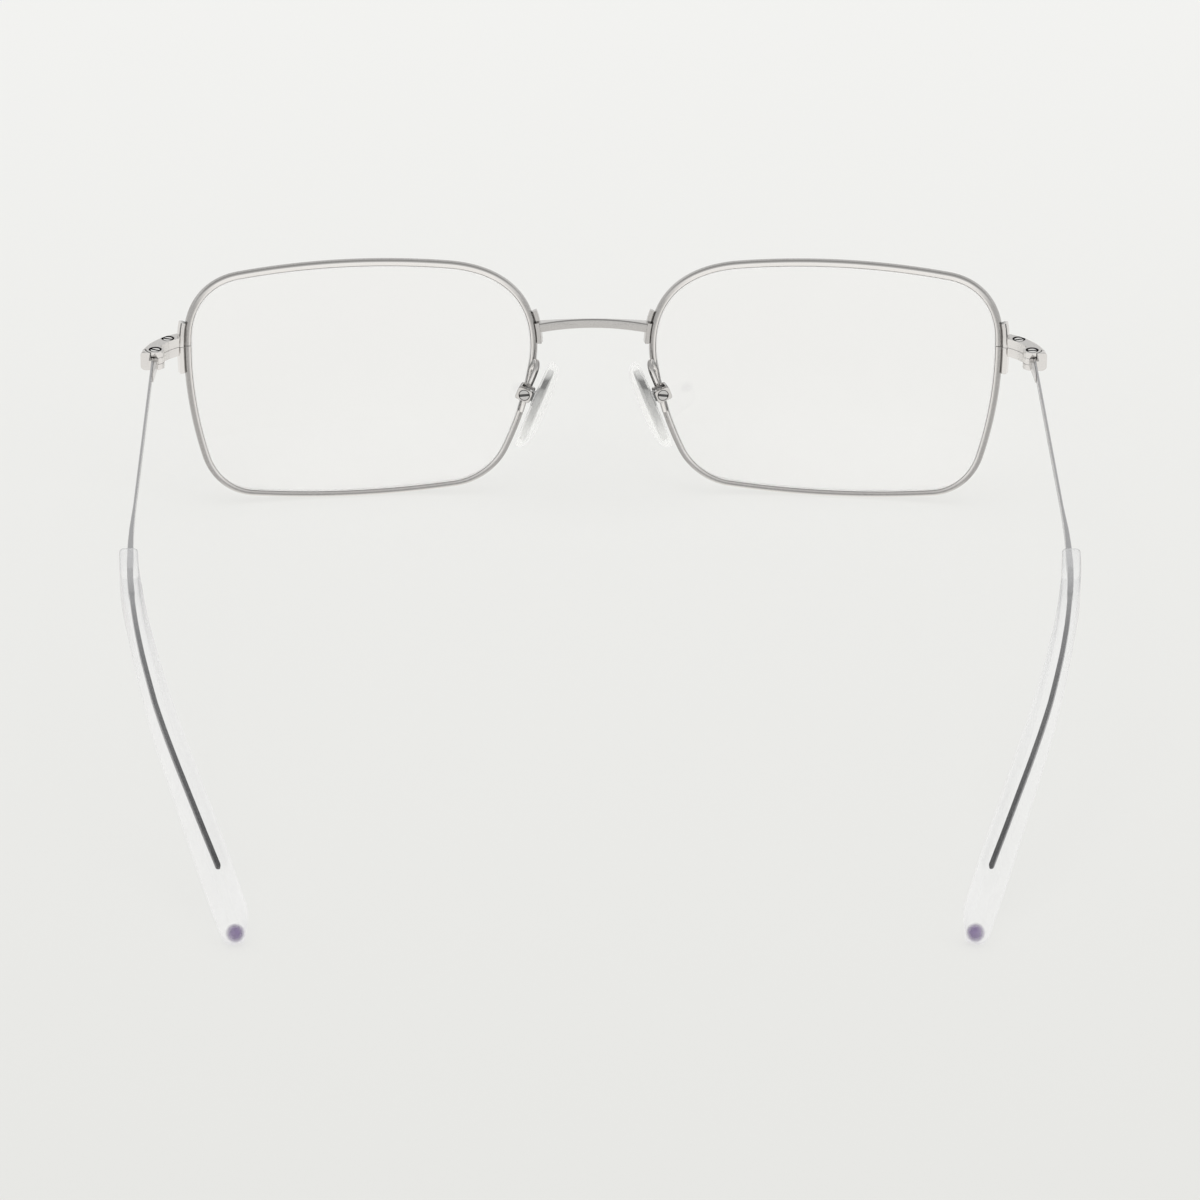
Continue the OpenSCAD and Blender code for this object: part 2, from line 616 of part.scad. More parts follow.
// Pad box: two cheeks and a back wall, open towards the pad
module pad_box() {
    color("silver") pad_frame() difference() {
        translate([0, box_w / 2, 0]) rotate([90, 0, 0]) linear_extrude(box_w)
            eased_square([box_in, pin_up - box_h / 2], [box_out, pin_up + box_h / 2], box_ease);
        translate([box_in - over, -box_slot / 2, pin_up - box_h])
            cube([box_out - box_in - box_wall + over, box_slot, 2 * box_h]);
        translate([pin_out, box_w, pin_up]) rotate([90, 0, 0]) cylinder(h = 2 * box_w, r = pin_r + thread_fit);
        translate([pin_out, box_w / 2 + over, pin_up]) rotate([90, 0, 0])
            cylinder(h = pin_head_h + over, r = pin_head_r + bore_fit);
    }
}
module eased_square(low, high, e) {
    difference() {
        translate(low) square(high - low);
        for (x = [0, 1], y = [0, 1]) {
            at = [x == 0 ? low.x : high.x, y == 0 ? low.y : high.y];
            inward = [x == 0 ? e : -e, y == 0 ? e : -e];
            difference() {
                translate(at + inward / 2) square(e, center = true);
                translate(at + inward) circle(e);
            }
        }
    }
}

module pad_screw() {
    color("darkgray") pad_frame() translate([pin_out, box_w / 2, pin_up]) rotate([-90, 0, 0]) rotate([0, 0, 30])
        screw(pin_head_r, pin_head_h - head_sink, pin_r, box_w - head_sink);
}

// Pad arm: a wire from the back of the rim, up in a loop and down to the front of the box
arm_sides = 8;
arm_fine = 3;
arm_seat = rim_d / 2 + arm_r + 2 * seat;
arm_low = -5.2;
arm_top = 2;
arm_lift = 0.08;
arm_loop = [pad_apart / 2, 3.6, 3.8];
arm_down = [pad_apart / 2 + 0.05, 5.2, 3.1];
arm_knots = concat(
    [for (i = [0 : 4]) let (q = inner_q(arm_low + (arm_top - arm_low) * i / 4))
        lean_point(eye_point(rim_at(q, 0, arm_seat + arm_lift * max(i - 2, 0)))) + [0, -mid_y, eye_z]],
    [front_height(arm_loop), front_height(arm_down), pad_place([pin_out, -box_w / 2 - arm_r - seat, pin_up])]);

// Smooth curve through the knots
function knot(i) = arm_knots[min(max(i, 0), len(arm_knots) - 1)];
function through(i, t) =
    let (a = knot(i - 1), b = knot(i), c = knot(i + 1), d = knot(i + 2))
    bezier(b, b + (c - a) / 6, c - (d - b) / 6, c, t);
arm_path = concat([for (i = [0 : len(arm_knots) - 2], k = [0 : arm_fine - 1]) through(i, k / arm_fine)],
                  [arm_knots[len(arm_knots) - 1]]);
module pad_arm() {
    last = len(arm_path) - 1;
    points = [for (i = [0 : last])
        let (dir = unit(arm_path[min(i + 1, last)] - arm_path[max(i - 1, 0)]),
             a = unit(cross([1, 0, 0], dir)), b = cross(dir, a))
        for (k = [0 : arm_sides - 1])
            let (t = k * 360 / arm_sides) arm_path[i] + arm_r * (a * cos(t) + b * sin(t))];
    color("silver") polyhedron(points, skin(last + 1, arm_sides));
}

rim();  // rim_left
right() rim();  // rim_right
lens();  // lens_left
right() lens();  // lens_right
bridge();
end_half(1);  // end_piece_upper_left
right() end_half(1);  // end_piece_upper_right
end_half(-1);  // end_piece_lower_left
right() end_half(-1);  // end_piece_lower_right
end_screw(lock_at, slots[0]);  // rim_lock_screw_left
right() end_screw(lock_at, slots[1]);  // rim_lock_screw_right
end_screw(hinge_at, slots[2]);  // hinge_screw_left
right() end_screw(hinge_at, slots[3]);  // hinge_screw_right
temple();  // temple_left
right() temple();  // temple_right
hinge_leaf();  // hinge_leaf_left
right() hinge_leaf();  // hinge_leaf_right
temple_tip();  // temple_tip_left
right() temple_tip();  // temple_tip_right
pad_arm();  // pad_arm_left
right() pad_arm();  // pad_arm_right
pad_box();  // pad_box_left
right() pad_box();  // pad_box_right
pad_screw();  // pad_screw_left
right() pad_screw();  // pad_screw_right
pad_insert();  // pad_insert_left
right() pad_insert();  // pad_insert_right
nose_pad();  // nose_pad_left
right() nose_pad();  // nose_pad_right
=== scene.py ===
# Rectangular metal eyeglasses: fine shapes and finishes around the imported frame.
# Shapes are in millimetres, looks and the stage in metres.
# X is the wearer's left, Y runs back along the temples.
import math
import bmesh
import bpy
from mathutils import Matrix, Vector, kdtree


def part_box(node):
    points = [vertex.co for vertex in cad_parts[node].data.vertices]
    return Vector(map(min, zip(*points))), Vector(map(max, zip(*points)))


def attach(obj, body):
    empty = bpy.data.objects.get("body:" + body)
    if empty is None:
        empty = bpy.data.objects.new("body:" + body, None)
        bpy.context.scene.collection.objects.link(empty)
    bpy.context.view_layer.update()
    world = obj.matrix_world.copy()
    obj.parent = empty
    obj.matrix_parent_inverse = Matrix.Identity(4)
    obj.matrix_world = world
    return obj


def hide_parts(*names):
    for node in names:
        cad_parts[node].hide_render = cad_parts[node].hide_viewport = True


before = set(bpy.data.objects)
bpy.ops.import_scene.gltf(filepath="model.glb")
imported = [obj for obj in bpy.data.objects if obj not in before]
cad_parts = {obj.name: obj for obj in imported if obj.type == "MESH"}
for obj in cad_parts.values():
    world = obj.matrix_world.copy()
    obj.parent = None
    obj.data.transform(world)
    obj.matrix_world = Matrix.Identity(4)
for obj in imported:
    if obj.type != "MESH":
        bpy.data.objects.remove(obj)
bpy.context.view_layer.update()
scene = bpy.context.scene
mm = 0.001
print("frame loaded")


# shader maths

class Value:
    # wraps a socket, so that value * 0.2 + 0.1 adds its Math nodes
    def __init__(self, look, socket):
        self.look = look
        self.socket = socket

    def join(self, operation, first, second):
        return self.look.add("ShaderNodeMath", {"operation": operation}, {0: first, 1: second}).out()

    def __add__(self, other):
        return self.join("ADD", self, other)

    def __radd__(self, other):
        return self.join("ADD", other, self)

    def __sub__(self, other):
        return self.join("SUBTRACT", self, other)

    def __rsub__(self, other):
        return self.join("SUBTRACT", other, self)

    def __mul__(self, other):
        return self.join("MULTIPLY", self, other)

    def __rmul__(self, other):
        return self.join("MULTIPLY", other, self)

    def __truediv__(self, other):
        return self.join("DIVIDE", self, other)

    def __pow__(self, other):
        return self.join("POWER", self, other)

    def clipped(self):
        return self.join("MINIMUM", self.join("MAXIMUM", self, 0.0), 1.0)


class Made:
    def __init__(self, look, node):
        self.look = look
        self.node = node

    def out(self, key=0):
        return Value(self.look, self.node.outputs[key])


class Look:
    # a material whose nodes come from add(type, settings, links)
    def __init__(self, name, tree=None):
        if tree is None:
            self.material = bpy.data.materials.new(name)
            self.material.use_nodes = True
            tree = self.material.node_tree
        self.tree = tree
        self.tree.nodes.clear()

    def add(self, kind, settings=None, links=None):
        node = self.tree.nodes.new(kind)
        for key, value in (settings or {}).items():
            if key == "stops":
                ramp = node.color_ramp.elements
                while len(ramp) < len(value):
                    ramp.new(0.5)
                for stop, (place, colour) in zip(ramp, value):
                    stop.position = place
                    stop.color = colour
            else:
                setattr(node, key, value)
        for key, value in (links or {}).items():
            socket = node.inputs[key]
            if isinstance(value, Value):
                self.tree.links.new(value.socket, socket)
            else:
                socket.default_value = value
        return Made(self, node)

    def place(self):
        return self.add("ShaderNodeTexCoord").out("Object")

    def stretched(self, scale):
        return self.add("ShaderNodeMapping", {}, {"Vector": self.place(), "Scale": scale}).out()

    # how far painted shade darkens each corner, as shadeBy stored it
    def shade(self):
        return self.add("ShaderNodeAttribute", {"attribute_name": "shade"}).out("Fac")

    def noise(self, vector, scale, detail=2.0):
        links = {"Vector": vector, "Scale": scale, "Detail": detail}
        return self.add("ShaderNodeTexNoise", {}, links).out("Fac")

    def blend(self, share, first, second):
        return self.add("ShaderNodeMix", {"data_type": "RGBA"}, {0: share, 6: first, 7: second}).out(2)

    def bump(self, height, strength, distance):
        links = {"Height": height, "Strength": strength, "Distance": distance}
        return self.add("ShaderNodeBump", {}, links).out()

    # how far a face turns its edge to the eye
    def facing(self):
        return self.add("ShaderNodeLayerWeight", {}, {"Blend": 0.5}).out("Facing")

    def height(self, axis):
        return self.add("ShaderNodeSeparateXYZ", {}, {0: self.place()}).out(axis)

    # colour and roughness that vary by a share
    def varied(self, share, tones):
        return {"Base Color": self.blend(share, tones["dark"], tones["light"]),
                "Roughness": share * tones["roughSpread"] + tones["rough"]}

    def surface(self, links):
        return self.add("ShaderNodeBsdfPrincipled", {}, links).out()

    def seeThrough(self, colour):
        return self.add("ShaderNodeBsdfTransparent", {}, {"Color": colour}).out()

    def mix(self, share, first, second):
        return self.add("ShaderNodeMixShader", {}, {0: share, 1: first, 2: second}).out()

    def finish(self, shader):
        self.add("ShaderNodeOutputMaterial", {}, {"Surface": shader})
        return self.material

    # clear pieces let most light through to the floor
    def finishClear(self, shader, shade):
        ray = self.add("ShaderNodeLightPath").out("Is Shadow Ray")
        return self.finish(self.mix(ray, shader, self.seeThrough(shade)))


# finishes

metal = {
    "frame": {"light": (0.91, 0.888, 0.868, 1), "dark": (0.84, 0.82, 0.802, 1), "rough": 0.16},
    "screw": {"light": (0.86, 0.85, 0.84, 1), "dark": (0.78, 0.77, 0.76, 1), "rough": 0.2},
    "temple": {"light": (0.5, 0.5, 0.505, 1), "dark": (0.43, 0.43, 0.44, 1), "rough": 0.24},
    # deep is the colour that painted shade and painted dark reflections darken the metal towards
    "deep": (0.02, 0.02, 0.022, 1), "paintedShadeLeast": 0.6, "paintedShadeGrain": 0.8,
    "cloud": 260, "cloudShare": 0.6, "grain": (1, 0.06, 1), "grainScale": 9000, "grainDetail": 3.0,
    "roughSpread": 0.08, "bump": 0.08, "bumpDeep": 0.00002,
}


def metalFinish(name, kind):
    look = Look(name)
    tone = metal[kind]
    cloud = look.noise(look.place(), metal["cloud"])
    grain = look.noise(look.stretched(metal["grain"]), metal["grainScale"], metal["grainDetail"])
    share = (cloud * metal["cloudShare"] + grain * (1 - metal["cloudShare"])).clipped()
    bright = look.blend(share, tone["dark"], tone["light"])
    # painted shade: the shade attribute darkens the metal towards deep
    paintedShade = (look.shade() * (grain * metal["paintedShadeGrain"] + metal["paintedShadeLeast"])).clipped()
    spread = metal["roughSpread"]
    return look.finish(look.surface({
        "Base Color": look.blend(paintedShade, bright, metal["deep"]), "Metallic": 1.0,
        "Roughness": (cloud * 0.5 + grain * 0.5) * spread + (tone["rough"] - spread / 2),
        "Normal": look.bump(grain, metal["bump"], metal["bumpDeep"])}))


lensLook = {"smear": 70, "smearDetail": 3.0, "dark": (0.995, 0.99, 0.988, 1), "light": (1.0, 0.998, 0.996, 1),
            "rough": 0.012, "bend": 1.5, "gloss": 0.25, "shadow": (0.985, 0.985, 0.98, 1)}


def lensFinish():
    look = Look("clearLens")
    t = lensLook
    smear = look.noise(look.place(), t["smear"], t["smearDetail"])
    glass = look.surface({
        "Base Color": look.blend(smear, t["dark"], t["light"]), "Roughness": smear * t["rough"],
        "IOR": t["bend"], "Specular IOR Level": t["gloss"], "Transmission Weight": 1.0})
    return look.finishClear(glass, t["shadow"])


edgeLook = {"grit": 3000, "dark": (0.66, 0.655, 0.645, 1), "light": (0.78, 0.775, 0.765, 1),
            "rough": 0.45, "roughSpread": 0.1, "bump": 0.1, "bumpDeep": 0.00002}


# the ground bevel of the lens, where it sits in the groove
def lensEdgeFinish():
    look = Look("groundLensEdge")
    grit = look.noise(look.place(), edgeLook["grit"])
    bump = look.bump(grit, edgeLook["bump"], edgeLook["bumpDeep"])
    return look.finish(look.surface(look.varied(grit, edgeLook) | {"Normal": bump}))


# fades is in metres: how far back from its start a tip's edges still take the painted grey shade
tipLook = {"haze": 0.07, "hazeLeast": 0.7, "hazeWave": 0.6, "edge": 0.55, "edgeNarrow": 3.0,
           "startEdge": 0.75, "startNarrow": 2.0, "startPaintedShade": (0.2, 0.2, 0.21, 1), "fades": 0.035,
           "wave": 240, "dark": (0.86, 0.86, 0.865, 1), "light": (0.95, 0.95, 0.955, 1),
           "rough": 0.12, "roughSpread": 0.05, "bend": 1.47,
           "clear": (0.995, 0.995, 0.998, 1), "shadow": (0.93, 0.93, 0.94, 1)}


# clear plastic: hardly any haze over the face, more towards its edges, which take a painted grey shade near
# the temple
def tipFinish():
    look = Look("crystalTip")
    t = tipLook
    wave = look.noise(look.place(), t["wave"])
    facing = look.facing()
    near = 1.0 - ((look.height("Y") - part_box("temple_tip_left")[0].y) / t["fades"]).clipped()
    white = look.blend(wave, t["dark"], t["light"])
    gloss = look.surface({
        "Base Color": look.blend((near * facing ** t["startNarrow"]).clipped(), white, t["startPaintedShade"]),
        "Roughness": wave * t["roughSpread"] + t["rough"], "IOR": t["bend"]})
    edge = near * t["startEdge"] + t["edge"]
    haze = (facing ** t["edgeNarrow"]) * edge + (wave * t["hazeWave"] + t["hazeLeast"]) * t["haze"]
    return look.finishClear(look.mix(haze.clipped(), look.seeThrough(t["clear"]), gloss), t["shadow"])


dyeLook = {"cloud": 500, "dark": (0.13, 0.09, 0.19, 1), "light": (0.18, 0.13, 0.25, 1),
           "rough": 0.5, "roughSpread": 0.2, "gloss": 0.1, "soft": 2.2,
           "clear": (1, 1, 1, 1), "shadow": (0.8, 0.76, 0.85, 1)}


# violet dye inside the tip, which thins out towards its edge
def dyeFinish():
    look = Look("violetDye")
    d = dyeLook
    cloud = look.noise(look.place(), d["cloud"])
    dye = look.surface(look.varied(cloud, d) | {"Specular IOR Level": d["gloss"]})
    solid = ((1.0 - look.facing()) ** d["soft"]).clipped()
    return look.finishClear(look.mix(solid, look.seeThrough(d["clear"]), dye), d["shadow"])


# glow is painted light: the silicone gives off a little light of its own
padLook = {"milk": 0.13, "edge": 0.68, "narrow": 2.2, "cloud": 420, "dark": (0.96, 0.96, 0.955, 1),
           "light": (1, 1, 0.995, 1), "rough": 0.3, "roughSpread": 0.12, "bend": 1.41, "coat": 0.4,
           "glow": 0.095, "skin": 2600, "bump": 0.1, "bumpDeep": 0.00005,
           "clear": (0.985, 0.985, 0.98, 1), "shadow": (0.9, 0.9, 0.89, 1)}


# clear silicone: thin haze over the face, whiter towards its edges, and a faint painted glow
def padFinish():
    look = Look("clearSilicone")
    s = padLook
    place = look.place()
    cloud = look.noise(place, s["cloud"])
    gloss = look.surface(look.varied(cloud, s) | {
        "IOR": s["bend"], "Coat Weight": s["coat"],
        "Emission Color": (1, 1, 1, 1), "Emission Strength": s["glow"],
        "Normal": look.bump(look.noise(place, s["skin"]), s["bump"], s["bumpDeep"])})
    haze = ((look.facing() ** s["narrow"]) * s["edge"] + s["milk"]).clipped()
    return look.finishClear(look.mix(haze, look.seeThrough(s["clear"]), gloss), s["shadow"])


# the plate in the pad; tone is a painted reflection with painted shade, its grey from its lower to its upper
# end
insertLook = {"tone": ((0.0, 0.8), (0.25, 0.66), (0.45, 0.42), (0.7, 0.3), (0.81, 0.16), (0.835, 0.01),
                       (0.915, 0.01), (0.94, 0.25), (1.0, 0.6)),
              "cool": 0.99, "cloud": 600, "cloudShare": 0.1, "cloudGrey": (0.6, 0.6, 0.6, 1),
              "rough": 0.3, "roughSpread": 0.1}


def insertFinish():
    look = Look("greyInsert")
    n = insertLook
    low, high = (corner.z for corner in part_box("pad_insert_left"))
    stops = [(share, (tone, tone, tone * n["cool"], 1)) for share, tone in n["tone"]]
    share = (look.height("Z") - low) / (high - low)
    paintedReflectionRamp = look.add("ShaderNodeValToRGB", {"stops": stops}, {0: share}).out()
    cloud = look.noise(look.place(), n["cloud"])
    return look.finish(look.surface({
        "Base Color": look.blend(cloud * n["cloudShare"], paintedReflectionRamp, n["cloudGrey"]),
        "Roughness": cloud * n["roughSpread"] + n["rough"]}))


silver = metalFinish("polishedSilver", "frame")
screwMetal = metalFinish("screwSteel", "screw")
stripMetal = metalFinish("templeSteel", "temple")
clearLens = lensFinish()
lensEdge = lensEdgeFinish()
crystal = tipFinish()
violetDye = dyeFinish()
silicone = padFinish()
insertGrey = insertFinish()
print("finishes made")


# meshes

weld = 0.0001


def newPiece(name, mesh, material):
    piece = bpy.data.objects.new(name, mesh)
    scene.collection.objects.link(piece)
    mesh.materials.clear()
    mesh.materials.append(material)
    return piece


# joins rings of points into one closed skin
def loft(name, rings):
    count = len(rings[0])
    mesh = bpy.data.meshes.new(name)
    faces = []
    for i in range(len(rings) - 1):
        for j in range(count):
            k = (j + 1) % count
            faces.append((i * count + j, i * count + k, (i + 1) * count + k, (i + 1) * count + j))
    faces.append(tuple(range(count)))
    faces.append(tuple((len(rings) - 1) * count + j for j in range(count)))
    mesh.from_pydata([Vector(p) * mm for ring in rings for p in ring], [], faces)
    outwards(mesh)
    return mesh


# joins points nearer than weld and turns every face outward
def outwards(mesh):
    shape = bmesh.new()
    shape.from_mesh(mesh)
    bmesh.ops.remove_doubles(shape, verts=shape.verts, dist=weld * mm)
    bmesh.ops.recalc_face_normals(shape, faces=shape.faces)
    shape.to_mesh(mesh)
    shape.free()


def smooth(mesh, degrees):
    mesh.shade_smooth()
    mesh.set_sharp_from_angle(angle=math.radians(degrees))


def mirrored(mesh, name):
    other = mesh.copy()
    other.name = name
    other.transform(Matrix.Diagonal((-1, 1, 1, 1)))
    other.flip_normals()
    return other


# paints shade into corners of faces by rule(place in mm, way it faces), both as on the left side
def shadeBy(mesh, rule):
    store = mesh.attributes.new("shade", "FLOAT", "CORNER")
    values = [0.0] * len(mesh.loops)
    for face in mesh.polygons:
        side = -1 if face.center.x < 0 else 1
        facing = Vector((face.normal.x * side, face.normal.y, face.normal.z))
        for corner in face.loop_indices:
            spot = mesh.vertices[mesh.loops[corner].vertex_index].co / mm
            values[corner] = rule(Vector((spot.x * side, spot.y, spot.z)), facing)
    store.data.foreach_set("value", values)


def rise(x, low, high):
    return min(max((x - low) / (high - low), 0), 1)


# both pieces of a pair, each riding on its side's body
def pair(name, mesh, material, bodies, nodes, degrees=35):
    smooth(mesh, degrees)
    made = []
    for side in ("left", "right"):
        own = mesh if side == "left" else mirrored(mesh, name + "Right")
        piece = newPiece(name + side.capitalize(), own, material)
        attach(piece, bodies.format(side))
        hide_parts(nodes.format(side))
        made.append(piece)
    return made


def roundTurns(count):
    return [2 * math.pi * k / count for k in range(count)]


def roundedBox(wide, high, ease, steps=4):
    points = []
    for cx, cy, start in ((1, 1, 0), (-1, 1, 90), (-1, -1, 180), (1, -1, 270)):
        for k in range(steps + 1):
            a = math.radians(start + 90 * k / steps)
            points.append((cx * (wide / 2 - ease) + ease * math.cos(a),
                           cy * (high / 2 - ease) + ease * math.sin(a)))
    return points


# lens outline and the rim that follows it

lensShape = {
    "corners": ((23, -17.6), (27.7, 16.7), (-32, 18.4), (-20.2, -16.7)),
    "setBack": (6.4, 9.2, 18.7, 5.7), "bow": (9.2, 5.5, 7.6, 7.8), "fullness": 0.55,
    "wide": 52.8, "high": 36.4, "thick": 1.6, "curve": 110, "apart": 18.2, "wrap": 5, "lean": 8, "fit": 0.04,
    "chamfer": (0.16, 0.08), "groundPart": 0.7,
}


def turned(v, degrees):
    a = math.radians(degrees)
    return Vector((v.x * math.cos(a) - v.y * math.sin(a), v.x * math.sin(a) + v.y * math.cos(a)))


def bezier(a, b, c, d, t):
    return a * (1 - t) ** 3 + b * (3 * t * (1 - t) ** 2) + c * (3 * t * t * (1 - t)) + d * t ** 3


corners = [Vector(c) for c in lensShape["corners"]]
sideWay = [(corners[(i + 1) % 4] - corners[i]).normalized() for i in range(4)]
sideFrom = [corners[i] + sideWay[i] * lensShape["setBack"][i] for i in range(4)]
sideTo = [corners[(i + 1) % 4] - sideWay[i] * lensShape["setBack"][(i + 1) % 4] for i in range(4)]


# q runs from 0 to 8: a side and a corner, four times
def rawOutline(q):
    q = q % 8
    i, t = int(q // 2), q % 1
    j = (i + 1) % 4
    if int(q) % 2 == 0:
        a, b = sideFrom[i], sideTo[i]
        reach = (b - a).length / 3
        leave, arrive = turned(sideWay[i], -lensShape["bow"][i]), turned(sideWay[i], lensShape["bow"][i])
    else:
        a, b = sideTo[i], sideFrom[j]
        reach = lensShape["fullness"] * lensShape["setBack"][j]
        leave, arrive = turned(sideWay[i], lensShape["bow"][i]), turned(sideWay[j], -lensShape["bow"][j])
    return bezier(a, a + leave * reach, b - arrive * reach, b, t)


rimSteps = 264
raw = [rawOutline(i * 8 / rimSteps) for i in range(rimSteps)]
rawLow = Vector((min(p.x for p in raw), min(p.y for p in raw)))
rawHigh = Vector((max(p.x for p in raw), max(p.y for p in raw)))


def outline(q):
    p = rawOutline(q)
    return Vector(((p.x - (rawLow.x + rawHigh.x) / 2) * lensShape["wide"] / (rawHigh.x - rawLow.x),
                   (p.y - (rawLow.y + rawHigh.y) / 2) * lensShape["high"] / (rawHigh.y - rawLow.y)))


# where the outline passes a height, between two places on one side
def passes(up, q0, q1):
    rising = outline(q1).y > outline(q0).y
    for _ in range(30):
        middle = (q0 + q1) / 2
        if (outline(middle).y < up) == rising:
            q0 = middle
        else:
            q1 = middle
    return (q0 + q1) / 2


outerSide, innerSide = (0, 1.9), (3.05, 5)


def outerAt(up):
    return passes(up, *outerSide)


def innerAt(up):
    return passes(up, *innerSide)


def onCurve(p, behind):
    r = lensShape["curve"]
    dish = r - math.sqrt(r * r - p.x * p.x - p.y * p.y)
    backward = Vector((-p.x, r - dish, -p.y)) / r
    return Vector((p.x, dish, p.y)) + backward * behind, backward


# at q: the bevel edge, the way outward and the way backward
def rimSpot(q):
    here, backward = onCurve(outline(q), 0)
    along = onCurve(outline(q + 0.01), 0)[0] - onCurve(outline(q - 0.01), 0)[0]
    return here, backward.cross(along).normalized(), backward


wrapTurn = Matrix.Rotation(math.radians(lensShape["wrap"]), 3, "Z")
leanTurn = Matrix.Rotation(math.radians(lensShape["lean"]), 3, "X")
eyeAside = Vector(((lensShape["apart"] + lensShape["wide"]) / 2, 0, 0))


def fromEye(p):
    return leanTurn @ (wrapTurn @ Vector(p) + eyeAside)


rimShape = {"thick": 0.85, "deep": 1.4, "groove": 0.45, "mouth": 0.8, "ease": 0.4, "innerEase": 0.12,
            "slit": 0.1, "splitUp": 6.3}
# how strongly painted shade and painted dark reflections darken the rim wire on its sides, top and underside
rimPaintedShade = {"side": 0.55, "sideSpan": (-0.3, 0.0), "top": 0.42, "topSpan": (0.28, 0.39), "low": 0.88,
           "lowAt": -0.08, "lowWide": 0.38, "facesUp": (0.5, 0.9), "facesDown": (0.6, 0.95)}
rimOut = rimShape["thick"] - rimShape["groove"]


# flat outline of the rim wire: outward from the bevel edge, then backward
def rimProfile():
    half, ease = rimShape["deep"] / 2, rimShape["ease"]
    points = []
    for cy, start in ((-1, -90), (1, 0)):
        for k in range(7):
            a = math.radians(start + 90 * k / 6)
            points.append((rimOut - ease + ease * math.cos(a), cy * (half - ease) + ease * math.sin(a)))
    inner = -rimShape["groove"]
    soft = rimShape["innerEase"]
    for k in range(4):
        a = math.radians(90 + 90 * k / 3)
        points.append((inner + soft + soft * math.cos(a), half - soft + soft * math.sin(a)))
    points += [(inner, rimShape["mouth"] / 2), (0, 0), (inner, -rimShape["mouth"] / 2)]
    for k in range(4):
        a = math.radians(180 + 90 * k / 3)
        points.append((inner + soft + soft * math.cos(a), -half + soft + soft * math.sin(a)))
    return points


splitQ = outerAt(rimShape["splitUp"])
slitQ = rimShape["slit"] / 2 / (sideTo[0] - sideFrom[0]).length
rimPath = [splitQ + slitQ + i * (8 - 2 * slitQ) / rimSteps for i in range(rimSteps + 1)]
rimBox = [fromEye(rimSpot(q)[0] + rimSpot(q)[1] * x + rimSpot(q)[2] * y)
          for q in rimPath for x, y in rimProfile()]
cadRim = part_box("rim_left")
shift = Vector((0, cadRim[0].y / mm - min(p.y for p in rimBox), cadRim[0].z / mm - min(p.z for p in rimBox)))


def inPlace(p):
    return fromEye(p) + shift


# sweeps a flat outline along a path, keeping its outward direction
def sweepTree():
    tree = bpy.data.node_groups.new("sweepAlongPath", "GeometryNodeTree")
    for title, kind in (("Path", "NodeSocketGeometry"), ("Profile", "NodeSocketObject"),
                        ("Finish", "NodeSocketMaterial")):
        tree.interface.new_socket(title, in_out="INPUT", socket_type=kind)
    tree.interface.new_socket("Swept", in_out="OUTPUT", socket_type="NodeSocketGeometry")
    def node(kind, **settings):
        made = tree.nodes.new(kind)
        for key, value in settings.items():
            setattr(made, key, value)
        return made
    given = node("NodeGroupInput")
    result = node("NodeGroupOutput")
    line = node("GeometryNodeMeshToCurve")
    way = node("GeometryNodeInputNamedAttribute", data_type="FLOAT_VECTOR")
    way.inputs["Name"].default_value = "outward"
    tilt = node("GeometryNodeSetCurveNormal", mode="FREE")
    shape = node("GeometryNodeObjectInfo")
    shapeLine = node("GeometryNodeMeshToCurve")
    sweep = node("GeometryNodeCurveToMesh")
    sweep.inputs["Fill Caps"].default_value = True
    real = node("GeometryNodeRealizeInstances")
    paint = node("GeometryNodeSetMaterial")
    join = tree.links.new
    join(given.outputs["Path"], line.inputs[0])
    join(line.outputs[0], tilt.inputs["Curve"])
    join(way.outputs[0], tilt.inputs["Normal"])
    join(tilt.outputs[0], sweep.inputs["Curve"])
    join(given.outputs["Profile"], shape.inputs["Object"])
    join(shape.outputs["Geometry"], shapeLine.inputs[0])
    join(shapeLine.outputs[0], sweep.inputs["Profile Curve"])
    join(sweep.outputs[0], real.inputs[0])
    join(real.outputs[0], paint.inputs["Geometry"])
    join(given.outputs["Finish"], paint.inputs["Material"])
    join(paint.outputs[0], result.inputs[0])
    return tree


sweepNodes = sweepTree()


def edgeObject(name, points, closed, ways=None):
    mesh = bpy.data.meshes.new(name)
    edges = [(i, i + 1) for i in range(len(points) - 1)]
    if closed:
        edges.append((len(points) - 1, 0))
    mesh.from_pydata([Vector(p) * mm for p in points], edges, [])
    if ways:
        store = mesh.attributes.new("outward", "FLOAT_VECTOR", "POINT")
        store.data.foreach_set("vector", [c for w in ways for c in w])
    piece = bpy.data.objects.new(name, mesh)
    scene.collection.objects.link(piece)
    return piece


def swept(name, points, ways, profile, material):
    path = edgeObject(name + "Path", points, False, ways)
    flat = edgeObject(name + "Flat", [(x, y, 0) for x, y in profile], True)
    modifier = path.modifiers.new("sweep", "NODES")
    modifier.node_group = sweepNodes
    for item in sweepNodes.interface.items_tree:
        if item.in_out == "INPUT" and item.name in ("Profile", "Finish"):
            modifier[item.identifier] = flat if item.name == "Profile" else material
    reader = bpy.context.evaluated_depsgraph_get()
    mesh = bpy.data.meshes.new_from_object(path.evaluated_get(reader))
    mesh.name = name
    for used in (path, flat):
        bpy.data.objects.remove(used)
    outwards(mesh)
    return mesh


rimPoints = [inPlace(rimSpot(q)[0]) for q in rimPath]
rimWays = [leanTurn @ (wrapTurn @ rimSpot(q)[1]) for q in rimPath]
rimBacks = [leanTurn @ (wrapTurn @ rimSpot(q)[2]) for q in rimPath]
nearRim = kdtree.KDTree(len(rimPoints))
for i, p in enumerate(rimPoints):
    nearRim.insert(p, i)
nearRim.balance()


# how far a place lies outward of the bevel edge and behind it, and where along the rim
def besideRim(spot):
    i = nearRim.find(spot)[1]
    return (spot - rimPoints[i]).dot(rimWays[i]), (spot - rimPoints[i]).dot(rimBacks[i]), i
